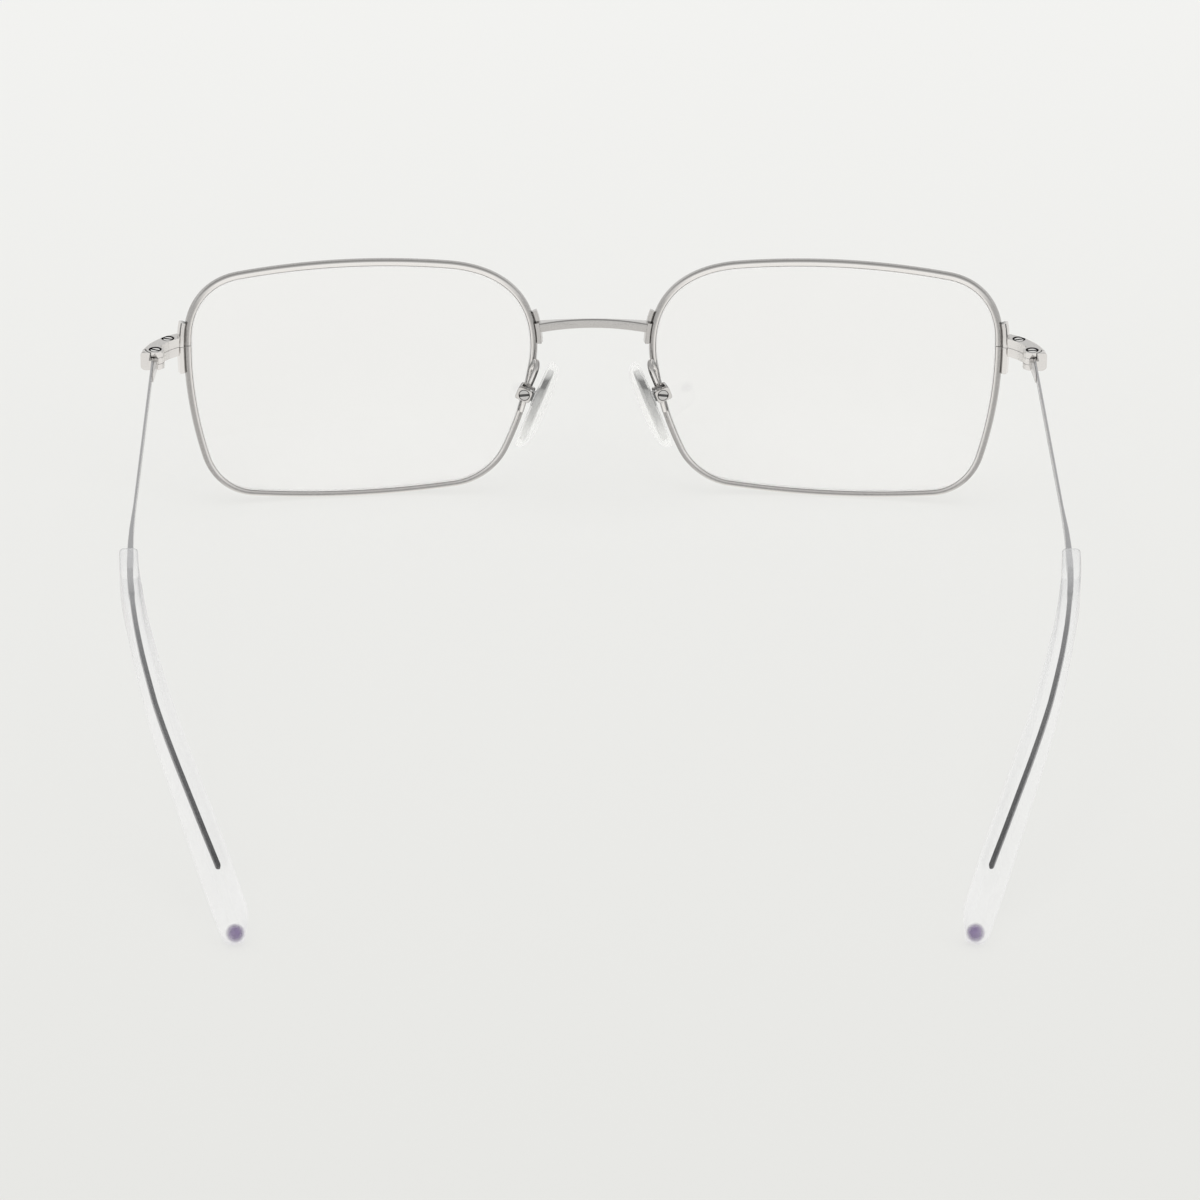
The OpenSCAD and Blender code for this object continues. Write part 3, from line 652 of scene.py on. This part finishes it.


# painted dark reflections and painted shade: the wire is darkened round its outer side, and under the lens
# only along its middle
def rimShade(spot, facing):
    out, _, i = besideRim(spot)
    tone = rimPaintedShade
    low, high = rise(-rimWays[i].z, *tone["facesDown"]), rise(rimWays[i].z, *tone["facesUp"])
    beside = tone["side"] * rise(out, *tone["sideSpan"])
    above = tone["top"] * rise(out, *tone["topSpan"])
    below = tone["low"] * (1 - rise(abs(out - tone["lowAt"]), 0, tone["lowWide"]))
    return (1 - low - high) * beside + high * above + low * below


rimMesh = swept("rimWire", rimPoints, rimWays, rimProfile(), silver)
shadeBy(rimMesh, rimShade)
pair("rimWire", rimMesh, silver, "front", "rim_{}", degrees=40)


# lenses

def lensMesh():
    inset = rimShape["groove"] + lensShape["fit"]
    half = lensShape["thick"] / 2
    land = rimShape["mouth"] / 2 - lensShape["fit"]
    spots = [rimSpot(i * 8 / rimSteps) for i in range(rimSteps)]
    inner = [here - outward * inset for here, outward, backward in spots]
    shares = (0.02, 0.15, 0.3, 0.45, 0.6, 0.75, 0.88, 0.96)
    rings = []
    for share in shares:
        rings.append([onCurve(Vector((p.x, p.z)) * share, half)[0] for p in inner])
    wide, deep = lensShape["chamfer"]
    for aside, behind in ((inset + wide, half), (inset, half - deep), (inset, land), (lensShape["fit"], 0),
                          (inset, -land), (inset, -half + deep), (inset + wide, -half)):
        rings.append([here - outward * aside + backward * behind for here, outward, backward in spots])
    for share in reversed(shares):
        rings.append([onCurve(Vector((p.x, p.z)) * share, -half)[0] for p in inner])
    return loft("lens", [[inPlace(p) for p in ring] for ring in rings])


# bevel and chamfers take the ground finish; groundPart is how far into a chamfer a face's middle may lie
def groundBevel(piece):
    piece.data.materials.append(lensEdge)
    for face in piece.data.polygons:
        spot = face.center / mm
        out = besideRim(Vector((abs(spot.x), spot.y, spot.z)))[0]
        if out > -rimShape["groove"] - lensShape["fit"] - lensShape["chamfer"][0] * lensShape["groundPart"]:
            face.material_index = 1


for piece in pair("lens", lensMesh(), clearLens, "front", "lens_{}", degrees=25):
    groundBevel(piece)
print("rims and lenses made")


# bars that follow the rim, and the bridge

solderGap = 0.02


# the two edges towards the rim are eased more, which leaves the valley that the solder fills
def barRings(stations, thick, ease, valley):
    rings = []
    for q, front, back in stations:
        here, outward, backward = rimSpot(q)
        middle = rimOut + solderGap + thick / 2
        flat = [p for p in roundedBox(thick, back - front, ease) if p[0] > 0]
        flat = flat[len(flat) // 2:] + flat[:len(flat) // 2]
        inner = [p for p in roundedBox(thick, back - front, valley) if p[0] < 0]
        rings.append([inPlace(here + outward * (middle + x) + backward * ((front + back) / 2 + y))
                      for x, y in flat + inner])
    return rings


def evenly(first, last, count):
    return [first + (last - first) * i / count for i in range(count + 1)]


barEase = {"outer": 0.15, "valley": 0.3}
# tone is painted shade, laid evenly over the whole bridge
bridgeShape = {"up": 7.9, "high": 1.4, "deep": 2.6, "waist": 0.7, "rise": 0.25, "bulge": 0.2, "ease": 0.25,
               "footLong": 4.7, "footThick": 0.75, "footProud": 0.15, "recess": 0.5, "step": 0.15,
               "tone": 0.4}


def bridgeMesh():
    b = bridgeShape
    half = rimShape["deep"] / 2
    stations = [(q, -half, half - b["recess"]) for q in
                evenly(innerAt(b["up"] + b["footLong"] / 2), innerAt(b["up"] + b["high"] / 2 + b["step"]), 4)]
    stations += [(q, -half, half + b["footProud"]) for q in
                 evenly(innerAt(b["up"] + b["high"] / 2), innerAt(b["up"] - b["footLong"] / 2), 8)]
    foot = loft("bridgeFoot", barRings(stations, b["footThick"], barEase["outer"], barEase["valley"]))
    here, outward = rimSpot(innerAt(b["up"]))[:2]
    end = wrapTurn @ (here + outward * (rimOut + solderGap + b["footThick"] / 2)) + eyeAside
    back = end.y + half + b["footProud"]
    rings = []
    for t in evenly(-1, 1, 40):
        arch = 1 - t * t
        y0 = back - b["deep"] - b["bulge"] * arch
        y1 = back - (b["deep"] + b["bulge"] - b["waist"]) * arch
        z = b["up"] + b["rise"] * arch
        rings.append([leanTurn @ Vector((t * end.x, (y0 + y1) / 2 + y, z + x)) + shift
                      for x, y in roundedBox(b["high"], y1 - y0, b["ease"], 5)])
    bar = loft("bridge", rings)
    shape = bmesh.new()
    for part in (bar, foot, mirrored(foot, "bridgeFootRight")):
        shape.from_mesh(part)
    shape.to_mesh(bar)
    shape.free()
    return bar


# how far the painted shade in the solder valley reaches and how dark it is
seamPaintedShade = {"fades": (0.112, 0.208), "dark": 0.36, "facing": 0.97}


# painted shade in the valley between a bar and the rim wire, where the solder lies
def seamShade(spot, facing):
    out, _, i = besideRim(spot)
    if facing.dot(rimBacks[i]) > seamPaintedShade["facing"]:
        return 0.0
    return seamPaintedShade["dark"] * (1 - rise(out - rimOut, *seamPaintedShade["fades"]))


bridge = newPiece("bridgeBar", bridgeMesh(), silver)
smooth(bridge.data, degrees=35)
# painted shade: the bridge is darkened evenly, and more in the solder valley by the rim
shadeBy(bridge.data, lambda spot, facing: max(bridgeShape["tone"], seamShade(spot, facing)))
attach(bridge, "front")
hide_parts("bridge")
print("bridge made")


# temples and tips

hinge = (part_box("hinge_screw_left")[0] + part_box("hinge_screw_left")[1]) / 2 / mm
templeShape = {"reach": 142.5, "thick": 0.36, "in": 0.12, "swing": 19, "swingAt": 67.2, "swingLong": 46,
               "earAt": 80, "earLong": 26}
tipShape = {"start": 73.5, "endHigh": 6.4, "round": 0.65,
            "startRound": ((0, 0.8), (0.03, 0.86), (0.12, 0.93), (0.24, 0.97), (0.4, 1)),
            "endRound": (10, 20, 30, 40, 50, 60, 70, 78, 84)}
capR = tipShape["endHigh"] / 2
capAt = templeShape["reach"] - capR


def ramp(y, start, run):
    if y < start:
        return 0
    return (y - start) ** 2 / (2 * run) if y < start + run else y - start - run / 2


def rampRate(y, start, run):
    return min(max((y - start) / run, 0), 1)


earDrop = (hinge.z - capR) / ramp(capAt, templeShape["earAt"], templeShape["earLong"])
swingRate = math.tan(math.radians(templeShape["swing"]))


def templeSpot(y):
    t = templeShape
    here = Vector((hinge.x + t["in"] + t["thick"] / 2 - swingRate * ramp(y, t["swingAt"], t["swingLong"]),
                   hinge.y + y, hinge.z - earDrop * ramp(y, t["earAt"], t["earLong"])))
    way = Vector((-swingRate * rampRate(y, t["swingAt"], t["swingLong"]), 1,
                  -earDrop * rampRate(y, t["earAt"], t["earLong"]))).normalized()
    out = way.cross(Vector((0, 0, 1))).normalized()
    return here, way, out, out.cross(way)


def section(y, flat):
    here, _, out, up = templeSpot(y)
    return [here + out * a + up * b for a, b in flat]


def between(y, table):
    if y <= table[0][0]:
        return table[0][1]
    for (y0, v0), (y1, v1) in zip(table, table[1:]):
        if y <= y1:
            return v0 + (v1 - v0) * (y - y0) / (y1 - y0)
    return table[-1][1]


# places along the temple, back from the hinge, and sizes at such places
start = tipShape["start"]
widens = start - 18
gripEnd = start + 11.2
headEnd = 2.75
coreEnd = templeShape["reach"] - 10.9
earBend = templeShape["earAt"] + 12
tipThick = ((start, 2.6), (start + 12, 2.8), (earBend, 2.7), (capAt - 8, 3.3), (capAt, 3.1))
tipHigh = ((start, 4.6), (start + 12, 5.0), (earBend, 4.8), (capAt - 8, 2 * capR), (capAt, 2 * capR))
stripThick = ((0, 0.36), (widens, 0.36), (start, 0.95), (start + 3.8, 0.84), (start + 4, 0.84),
              (gripEnd - 0.2, 0.84), (gripEnd, 0.68), (coreEnd, 0.66))
stripHigh = ((0, 1.4), (start + 3.8, 1.4), (start + 4, 1.3), (gripEnd - 0.2, 1.1), (gripEnd, 0.9),
             (coreEnd, 0.8))

# the core doesn't lie quite in the middle of the tip: this far outward of it
coreAside = ((start - 10, 0), (start - 1, -0.22), (start + 4, -0.12), (gripEnd, 0), (92, 0.22),
             (98, 0.36), (106, 0.42), (116, 0.16), (126, -0.24), (coreEnd, -0.5))


stripShape = {"lap": 0.02, "ease": 0.1, "ends": 0.5, "endRound": ((0.3, 0.95), (0.15, 0.8), (0, 0.5))}


def stripMesh():
    rings = []
    places = evenly(headEnd - stripShape["lap"], widens, 12)
    places += evenly(widens + 1, coreEnd - stripShape["ends"], 120)
    rounded = [(coreEnd - short, share) for short, share in stripShape["endRound"]]
    for y, share in [(y, 1) for y in places] + rounded:
        thick, high = between(y, stripThick) * share, between(y, stripHigh) * share
        flat = roundedBox(thick, high, stripShape["ease"], 3)
        rings.append(section(y, [(a + between(y, coreAside), b) for a, b in flat]))
    return loft("strip", rings)


def tipFlat(y, share=1.0):
    flat = roundedBox(between(y, tipThick), between(y, tipHigh), tipShape["round"], 8)
    return [(x * share, z * share) for x, z in flat]


def tipMesh():
    rings = []
    for ahead, share in tipShape["startRound"]:
        rings.append(section(start + ahead, tipFlat(start + ahead, share)))
    for y in evenly(start + 1, capAt, 90):
        rings.append(section(y, tipFlat(y)))
    way = templeSpot(capAt)[1]
    for angle in tipShape["endRound"]:
        a = math.radians(angle)
        rings.append([p + way * capR * math.sin(a) for p in section(capAt, tipFlat(capAt, math.cos(a)))])
    return loft("templeTip", rings)


# the core inside the tip looks darker the further back it runs
coreTone = ((0, 0), (start + 3.9, 0.05), (start + 4, 0.2), (gripEnd, 0.2), (gripEnd + 8, 0.33),
            (coreEnd - 18, 0.7), (coreEnd, 1))


def templeShade(spot, facing):
    return between(spot.y - hinge.y, coreTone)


strip = stripMesh()
shadeBy(strip, templeShade)
pair("templeStrip", strip, stripMetal, "temple_{}", "temple_{}")
pair("templeTip", tipMesh(), crystal, "temple_{}", "temple_tip_{}", degrees=60)

dyeBall = {"radius": 1.35, "along": 1.3, "below": 1.15, "sides": 32, "angles": range(-84, 85, 12)}


def dyeMesh():
    d = dyeBall
    here, way, out, up = templeSpot(capAt)
    middle = here + way * d["along"] - up * d["below"]
    rings = []
    for angle in d["angles"]:
        a = math.radians(angle)
        rings.append([middle + (way * math.sin(a) + (out * math.cos(t) + up * math.sin(t)) * math.cos(a))
                      * d["radius"] for t in roundTurns(d["sides"])])
    return loft("tipDye", rings)


pair("tipDye", dyeMesh(), violetDye, "temple_{}", "temple_tip_{}", degrees=60)
print("tips made")


# nose pads and the wire arms that carry them; in the pad's own frame X runs outward and Z along the pad
padShape = {"long": 14, "wide": 8, "dome": 1.6, "apart": 17.4, "back": 8, "up": -1.4, "flare": 21,
            "splay": 12, "power": 0.72, "sides": 72, "pinOut": 2.15, "pinUp": 1.1}
padLoops = ((0.5, 0.6), (0.86, 0.6), (0.94, 0.58), (0.985, 0.46), (1, 0.3), (1, 0.15), (1, 0), (0.985, -0.18),
            (0.96, -0.35), (0.92, -0.51), (0.86, -0.65), (0.78, -0.76), (0.68, -0.85), (0.56, -0.915),
            (0.42, -0.96), (0.28, -0.985), (0.14, -1), (0.03, -1))
padTurn = (Matrix.Rotation(math.radians(-padShape["flare"]), 3, "Y")
           @ Matrix.Rotation(math.radians(-padShape["splay"]), 3, "Z"))
padMiddle = Vector((padShape["apart"] / 2, padShape["back"], padShape["up"])) + shift


def padPlace(p):
    return padMiddle + padTurn @ Vector(p)


def bulge(s):
    return math.copysign(abs(s) ** padShape["power"], s)


def padMesh():
    rings = []
    for share, depth in padLoops:
        ring = []
        for a in roundTurns(padShape["sides"]):
            ring.append(padPlace((depth * padShape["dome"] if depth < 0 else depth,
                                  -share * padShape["wide"] / 2 * bulge(math.cos(a)),
                                  share * padShape["long"] / 2 * bulge(math.sin(a)))))
        rings.append(ring)
    return loft("nosePad", rings)


pair("nosePad", padMesh(), silicone, "pad_{}", "nose_pad_{}", degrees=50)

# dark and its span give the painted dark reflections along the wire's sides
armShape = {"radius": 0.45, "low": -5.2, "top": 2, "lift": 0.08, "seat": 0.04, "loopBack": 3.6, "loopUp": 3.8,
            "downAside": 0.05, "downBack": 5.2, "downUp": 3.1, "boxHalf": 1.2, "dip": 0.75, "fine": 10,
            "sides": 20, "dark": 0.78, "paintedShadeSpan": (0.3, 0.8)}


def armPath():
    a = armShape
    behind = rimShape["deep"] / 2 + a["radius"] + a["seat"]
    knots = []
    for i, up in enumerate(evenly(a["low"], a["top"], 4)):
        here, _, backward = rimSpot(innerAt(up))
        knots.append(inPlace(here + backward * (behind + a["lift"] * max(i - 2, 0) - a["dip"] * (i == 0))))
    knots.append(Vector((padShape["apart"] / 2, a["loopBack"], a["loopUp"])) + shift)
    knots.append(Vector((padShape["apart"] / 2 + a["downAside"], a["downBack"], a["downUp"])) + shift)
    knots.append(padPlace((padShape["pinOut"], -a["boxHalf"] - a["radius"] - solderGap, padShape["pinUp"])))
    points = []
    for i in range(len(knots) - 1):
        before, here, after = knots[max(i - 1, 0)], knots[i], knots[i + 1]
        last = knots[min(i + 2, len(knots) - 1)]
        for k in range(a["fine"]):
            leave, arrive = here + (after - before) / 6, after - (last - here) / 6
            points.append(bezier(here, leave, arrive, after, k / a["fine"]))
    return points + [knots[-1]]


def armMesh():
    path = armPath()
    ways = []
    for i in range(len(path)):
        along = path[min(i + 1, len(path) - 1)] - path[max(i - 1, 0)]
        ways.append(Vector((1, 0, 0)).cross(along).normalized())
    radius = armShape["radius"]
    wire = [(radius * math.cos(t), radius * math.sin(t)) for t in roundTurns(armShape["sides"])]
    return swept("padArm", path, ways, wire, silver)


# painted dark reflections along both sides of the wire
def armShade(spot, facing):
    return armShape["dark"] * rise(abs(facing.x), *armShape["paintedShadeSpan"])


arm = armMesh()
shadeBy(arm, armShade)
pair("padArm", arm, silver, "front", "pad_arm_{}", degrees=50)
print("nose pads and their arms made")


# copies of the small solid pieces, with eased edges

# how wide each piece's edges are eased, and what counts as an edge, in degrees
easing = {"endPiece": 0.06, "templeHead": 0.13, "padScrew": 0.05, "padBox": 0.08, "hingeLeaf": 0.05,
          "padInsert": 0.08, "segments": 2, "angle": 35, "flatWithin": 0.8, "weld": 0.001}


def easedCopy(node, kind, cap, material, body, rule=None, cutAt=None):
    name = kind + cap
    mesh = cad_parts[node].data.copy()
    mesh.name = name
    shape = bmesh.new()
    shape.from_mesh(mesh)
    bmesh.ops.remove_doubles(shape, verts=shape.verts, dist=easing["weld"] * mm)
    if cutAt:
        bmesh.ops.bisect_plane(shape, geom=shape.verts[:] + shape.edges[:] + shape.faces[:], clear_outer=True,
                               plane_co=Vector((0, cutAt, 0)) * mm, plane_no=(0, 1, 0))
        bmesh.ops.holes_fill(shape, edges=[edge for edge in shape.edges if edge.is_boundary])
    bmesh.ops.dissolve_limit(shape, angle_limit=math.radians(easing["flatWithin"]), verts=shape.verts,
                             edges=shape.edges)
    shape.to_mesh(mesh)
    shape.free()
    mesh.shade_smooth()
    piece = newPiece(name, mesh, material)
    bevel = piece.modifiers.new("ease", "BEVEL")
    bevel.width = easing[kind] * mm
    bevel.segments = easing["segments"]
    bevel.limit_method = "ANGLE"
    bevel.angle_limit = math.radians(easing["angle"])
    bevel.miter_outer = "MITER_ARC"
    piece.modifiers.new("even", "WEIGHTED_NORMAL")
    reader = bpy.context.evaluated_depsgraph_get()
    done = bpy.data.meshes.new_from_object(piece.evaluated_get(reader))
    piece.modifiers.clear()
    piece.data = done
    if rule:
        shadeBy(piece.data, rule)
    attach(piece, body)
    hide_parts(node)


lockPin = (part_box("rim_lock_screw_left")[0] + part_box("rim_lock_screw_left")[1]) / 2 / mm
headShape = {"top": hinge.z + 1.35, "radius": 0.955, "face": 0.68, "cone": 0.22, "slotHalf": 0.19,
             "shank": 0.6, "shankEase": 0.05, "shoulder": 26.15, "low": 23.9, "sides": 48, "lap": 0.01,
             "sunk": 0.05, "flatFacing": 0.99}
# painted shade along the split line, in the wells, in the gap by the temple head and evenly over the top,
# rear and post, and painted dark reflections on the post
splitPaintedShade = {"high": hinge.z, "half": 0.07, "dark": 0.12}
endPaintedShade = {"rear": 0.1, "top": 0.26, "topWithin": 0.1, "topFacing": 0.97, "post": 0.22, "postAbove": 0.2,
           "edge": 0.8, "slant": 0.3, "dot": 0.95, "dotHigh": 0.45, "dotWide": 0.6, "well": 0.95, "deep": 0.7,
           "ring": 0.12, "gap": 0.8, "gapAside": 0.7, "gapFacing": 0.4}
blockTop = headShape["top"] + headShape["sunk"]
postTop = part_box("end_piece_upper_left")[1].z / mm


def fromPin(spot):
    return min(math.hypot(spot.x - p.x, spot.y - p.y) for p in (lockPin, hinge))


# painted shade and painted dark reflections: dark wells round the screw heads, a dark split line and gap by
# the temple head, a darker top, and a post with one dark edge and a dark dot on its end
def endShade(spot, facing):
    tone = endPaintedShade
    if abs(spot.z - blockTop) < tone["topWithin"] and facing.z > tone["topFacing"]:
        return tone["top"]
    if spot.z > blockTop - tone["deep"] and fromPin(spot) < headShape["radius"] + tone["ring"]:
        return tone["well"]
    if spot.x > hinge.x + tone["gapAside"] and facing.y > tone["gapFacing"]:
        return tone["gap"]
    if abs(spot.z - splitPaintedShade["high"]) < splitPaintedShade["half"]:
        return splitPaintedShade["dark"]
    out, _, i = besideRim(spot)
    if spot.z > blockTop + tone["postAbove"]:
        if spot.z > postTop - tone["dotHigh"] and out - rimOut < tone["dotWide"] and facing.z > tone["slant"]:
            return tone["dot"]
        if min(facing.dot(rimWays[i]), facing.dot(rimBacks[i])) > tone["slant"]:
            return tone["edge"]
        return max(tone["post"], seamShade(spot, facing))
    return max(tone["rear"], seamShade(spot, facing))


def circle(at, r, z, turns):
    return [Vector((at.x + r * math.cos(t), at.y + r * math.sin(t), z)) for t in turns]


# a screw whose head has a coned edge and is cut in two halves by its slot
def endScrewMesh(name, at, degrees):
    h = headShape
    floor = h["top"] - h["cone"] - h["lap"]
    stem = [circle(at, r, z, roundTurns(h["sides"])) for r, z in (
        (h["shank"] - h["shankEase"], h["low"]), (h["shank"], h["low"] + h["shankEase"]),
        (h["shank"], h["shoulder"]), (h["radius"], h["shoulder"] + h["lap"]), (h["radius"], floor))]
    mesh = loft(name, stem)
    shape = bmesh.new()
    shape.from_mesh(mesh)
    for half in (0, 180):
        rings = []
        for r, z in ((h["radius"], floor - h["lap"]), (h["radius"], floor + h["lap"]), (h["face"], h["top"])):
            leave = math.asin(h["slotHalf"] / r)
            arc = [t + math.radians(degrees + half) for t in evenly(leave, math.pi - leave, 24)]
            rings.append(circle(at, r, z, arc))
        shape.from_mesh(loft("screwHalf", rings))
    shape.to_mesh(mesh)
    shape.free()
    return mesh


# painted shade and painted dark reflections on all of the head but its flat top, which stays bright
def screwShade(spot, facing):
    onTop = facing.z > headShape["flatFacing"] and spot.z > headShape["top"] - headShape["lap"]
    return 0.0 if onTop else endPaintedShade["well"]


# how much painted shade darkens the pad box and its screw
boxPaintedShade = {"plain": 0.25, "edge": 0.6, "flat": 0.985, "over": 0.16,
           "head": 0.3, "headAt": 1.12, "headFacing": 0.99, "slot": 0.9, "rimSpan": (0.66, 0.76)}


# the box and its screw, both in the pad's own frame: painted shade over the box, darker on its edges, and
# over the screw, darkest in the slot and round the head's rim
def boxShade(spot, facing):
    own = padTurn.transposed() @ facing
    flat = max(abs(own.x), abs(own.y), abs(own.z))
    return boxPaintedShade["plain"] + boxPaintedShade["edge"] * rise(boxPaintedShade["flat"] - flat, 0, boxPaintedShade["over"])


def padScrewShade(spot, facing):
    own, way = padTurn.transposed() @ (spot - padMiddle), padTurn.transposed() @ facing
    reach = math.hypot(own.x - padShape["pinOut"], own.z - padShape["pinUp"])
    if way.y > boxPaintedShade["headFacing"] and own.y > boxPaintedShade["headAt"]:
        return boxPaintedShade["head"]
    if own.y < boxPaintedShade["headAt"]:
        return boxPaintedShade["slot"]
    return boxPaintedShade["slot"] * rise(reach, *boxPaintedShade["rimSpan"])


# how the slots stand, in degrees
slotTurns = {"rimLockScrew": {"left": -18, "right": 18}, "hingeScrew": {"left": -28, "right": 5}}
# how much painted shade darkens the temple head and the hinge leaf
headPaintedShade = {"gapFacing": -0.25, "topFacing": 0.8, "rest": 0.14}
leafPaintedShade = {"topFacing": 0.6, "knuckle": 0.75, "knuckleEnd": 1.6, "top": 0.25, "sideFacing": 0.8, "side": 0.4,
            "rest": 0.15, "span": (0.6, 1.4)}


# painted shade: the head of the temple is darker on top and at the gap by the end piece, and the leaf along
# its taper, on its sides and by the knuckle
def headShade(spot, facing):
    if facing.y < headPaintedShade["gapFacing"]:
        return endPaintedShade["gap"]
    return endPaintedShade["top"] if facing.z > headPaintedShade["topFacing"] else headPaintedShade["rest"]


def leafShade(spot, facing):
    tone = leafPaintedShade
    if facing.z > tone["topFacing"]:
        return tone["knuckle"] if spot.y < hinge.y + tone["knuckleEnd"] else tone["top"]
    beside = tone["side"] if abs(facing.x) > tone["sideFacing"] else tone["rest"]
    return beside * rise(spot.y - hinge.y, *tone["span"])


for side in ("left", "right"):
    cap = side.capitalize()
    for half in ("upper", "lower"):
        easedCopy(f"end_piece_{half}_{side}", "endPiece", half.capitalize() + cap, silver, "front",
                  endShade)
    for kind, at in (("rimLockScrew", lockPin), ("hingeScrew", hinge)):
        centre = Vector((at.x if side == "left" else -at.x, at.y, 0))
        piece = newPiece(kind + cap, endScrewMesh(kind, centre, slotTurns[kind][side]), screwMetal)
        smooth(piece.data, degrees=30)
        shadeBy(piece.data, screwShade)
        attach(piece, "front")
        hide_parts({"rimLockScrew": "rim_lock_screw_", "hingeScrew": "hinge_screw_"}[kind] + side)
    easedCopy(f"temple_{side}", "templeHead", cap, silver, f"temple_{side}", headShade,
              cutAt=hinge.y + headEnd)
    easedCopy(f"pad_screw_{side}", "padScrew", cap, screwMetal, "front", padScrewShade)
    easedCopy(f"pad_box_{side}", "padBox", cap, silver, "front", boxShade)
    easedCopy(f"hinge_leaf_{side}", "hingeLeaf", cap, silver, f"temple_{side}", leafShade)
    easedCopy(f"pad_insert_{side}", "padInsert", cap, insertGrey, f"pad_{side}")
print("small pieces made")


# floor, light and camera

# far and near: the paper's tone behind the object and in front of the camera, a painted fall of light from
# bright to darker
studio = {
    "far": (0.935, 0.935, 0.918, 1), "near": (0.76, 0.76, 0.736, 1), "farAt": -0.36, "nearAt": 0.16,
    "mirrored": (0.97, 0.96, 0.94, 1), "glow": 0.78, "paperDark": (0.83, 0.83, 0.815, 1),
    "paperLight": (0.85, 0.85, 0.835, 1), "paperGrain": 900, "floorHalf": 4,
    "sky": (1, 1, 0.99, 1), "low": 0.95, "high": 0.42, "turnsAt": 0.25, "turnsOver": 0.5, "clear": 0.87,
}


def floorFinish():
    look = Look("palePaper")
    t = studio
    paper = look.blend(look.noise(look.place(), t["paperGrain"]), t["paperDark"], t["paperLight"])
    plain = look.add("ShaderNodeBsdfDiffuse", {}, {"Color": paper}).out()
    ray = look.add("ShaderNodeLightPath")
    seen = (ray.out("Is Camera Ray") + ray.out("Is Glossy Ray") + ray.out("Is Transmission Ray")).clipped()
    # painted light: the floor's glow fades from far to near
    near = ((look.height("Y") - t["farAt"]) / (t["nearAt"] - t["farAt"])).clipped()
    mirror = ray.out("Is Glossy Ray") * (1.0 - ray.out("Is Transmission Ray"))
    tone = look.blend(mirror, look.blend(near, t["far"], t["near"]), t["mirrored"])
    glow = look.add("ShaderNodeEmission", {}, {"Color": tone, "Strength": 1.0}).out()
    return look.finish(look.mix(seen * t["glow"], plain, glow))


floorMesh = bpy.data.meshes.new("floor")
reach = studio["floorHalf"]
floorSpots = [(x * reach, y * reach, 0) for x, y in ((-1, -1), (1, -1), (1, 1), (-1, 1))]
floorMesh.from_pydata(floorSpots, [], [(0, 1, 2, 3)])
floor = newPiece("floor", floorMesh, floorFinish())

world = bpy.data.worlds.new("studioWorld")
scene.world = world
world.use_nodes = True
sky = Look("sky", world.node_tree)
height = sky.add("ShaderNodeSeparateXYZ", {}, {0: sky.add("ShaderNodeTexCoord").out("Generated")}).out("Z")
above = ((height - studio["turnsAt"]) / studio["turnsOver"]).clipped()
through = sky.add("ShaderNodeLightPath").out("Is Transmission Ray")
bright = above * (studio["high"] - studio["low"]) + studio["low"]
bright = bright * (1 - through) + through * studio["clear"]
sky.add("ShaderNodeOutputWorld", {}, {"Surface": sky.add("ShaderNodeBackground", {}, {
    "Color": studio["sky"], "Strength": bright}).out()})


# places and sizes in metres; each lamp looks at the middle of the floor
lamps = {
    "overhead": {"at": (0, 0.1, 1.1), "size": (1.2, 1.0), "power": 5.2},
    "window": {"at": (-0.9, 0.5, 0.7), "size": (0.6, 0.8), "power": 1.6},
    "behindCamera": {"at": (0.3, 1.25, 0.75), "size": (0.9, 0.6), "power": 6.5},
}


def softLight(name):
    lamp = bpy.data.lights.new(name, "AREA")
    lamp.shape = "RECTANGLE"
    lamp.size, lamp.size_y = lamps[name]["size"]
    lamp.energy = lamps[name]["power"]
    holder = bpy.data.objects.new(name, lamp)
    scene.collection.objects.link(holder)
    holder.location = lamps[name]["at"]
    holder.rotation_euler = (Vector() - holder.location).to_track_quat("-Z", "Y").to_euler()
    holder.visible_glossy = False


for name in lamps:
    softLight(name)

# height and distance are chosen; turn and roll line the two rims up with the photo
shot = {"elevation": 25.0, "turn": -0.9, "roll": 0.39, "distance": 1.0, "pixelsFocal": 6570,
        "frameSize": 1200, "anchorUp": 0.0233, "anchorPixel": (593.2, 345), "sensor": 36, "clip": (0.05, 20)}


def aimCamera():
    e, a, r = (math.radians(shot[k]) for k in ("elevation", "turn", "roll"))
    ahead = Vector((math.sin(a) * math.cos(e), -math.cos(a) * math.cos(e), -math.sin(e)))
    right = ahead.cross(Vector((0, 0, 1))).normalized()
    up = right.cross(ahead)
    right, up = right * math.cos(r) + up * math.sin(r), up * math.cos(r) - right * math.sin(r)
    middle = shot["frameSize"] / 2
    px, py = shot["anchorPixel"]
    ray = ahead + right * (px - middle) / shot["pixelsFocal"] - up * (py - middle) / shot["pixelsFocal"]
    anchor = Vector((0, shift.y * mm, shot["anchorUp"]))
    camera = bpy.data.cameras.new("photoCamera")
    camera.sensor_width = shot["sensor"]
    camera.lens = shot["pixelsFocal"] * shot["sensor"] / shot["frameSize"]
    camera.clip_start, camera.clip_end = shot["clip"]
    holder = bpy.data.objects.new("photoCamera", camera)
    scene.collection.objects.link(holder)
    turn = Matrix((right, up, -ahead)).transposed().to_4x4()
    holder.matrix_world = Matrix.Translation(anchor - ray.normalized() * shot["distance"]) @ turn
    scene.camera = holder


aimCamera()
scene.view_settings.view_transform = "Standard"
print("stage set")
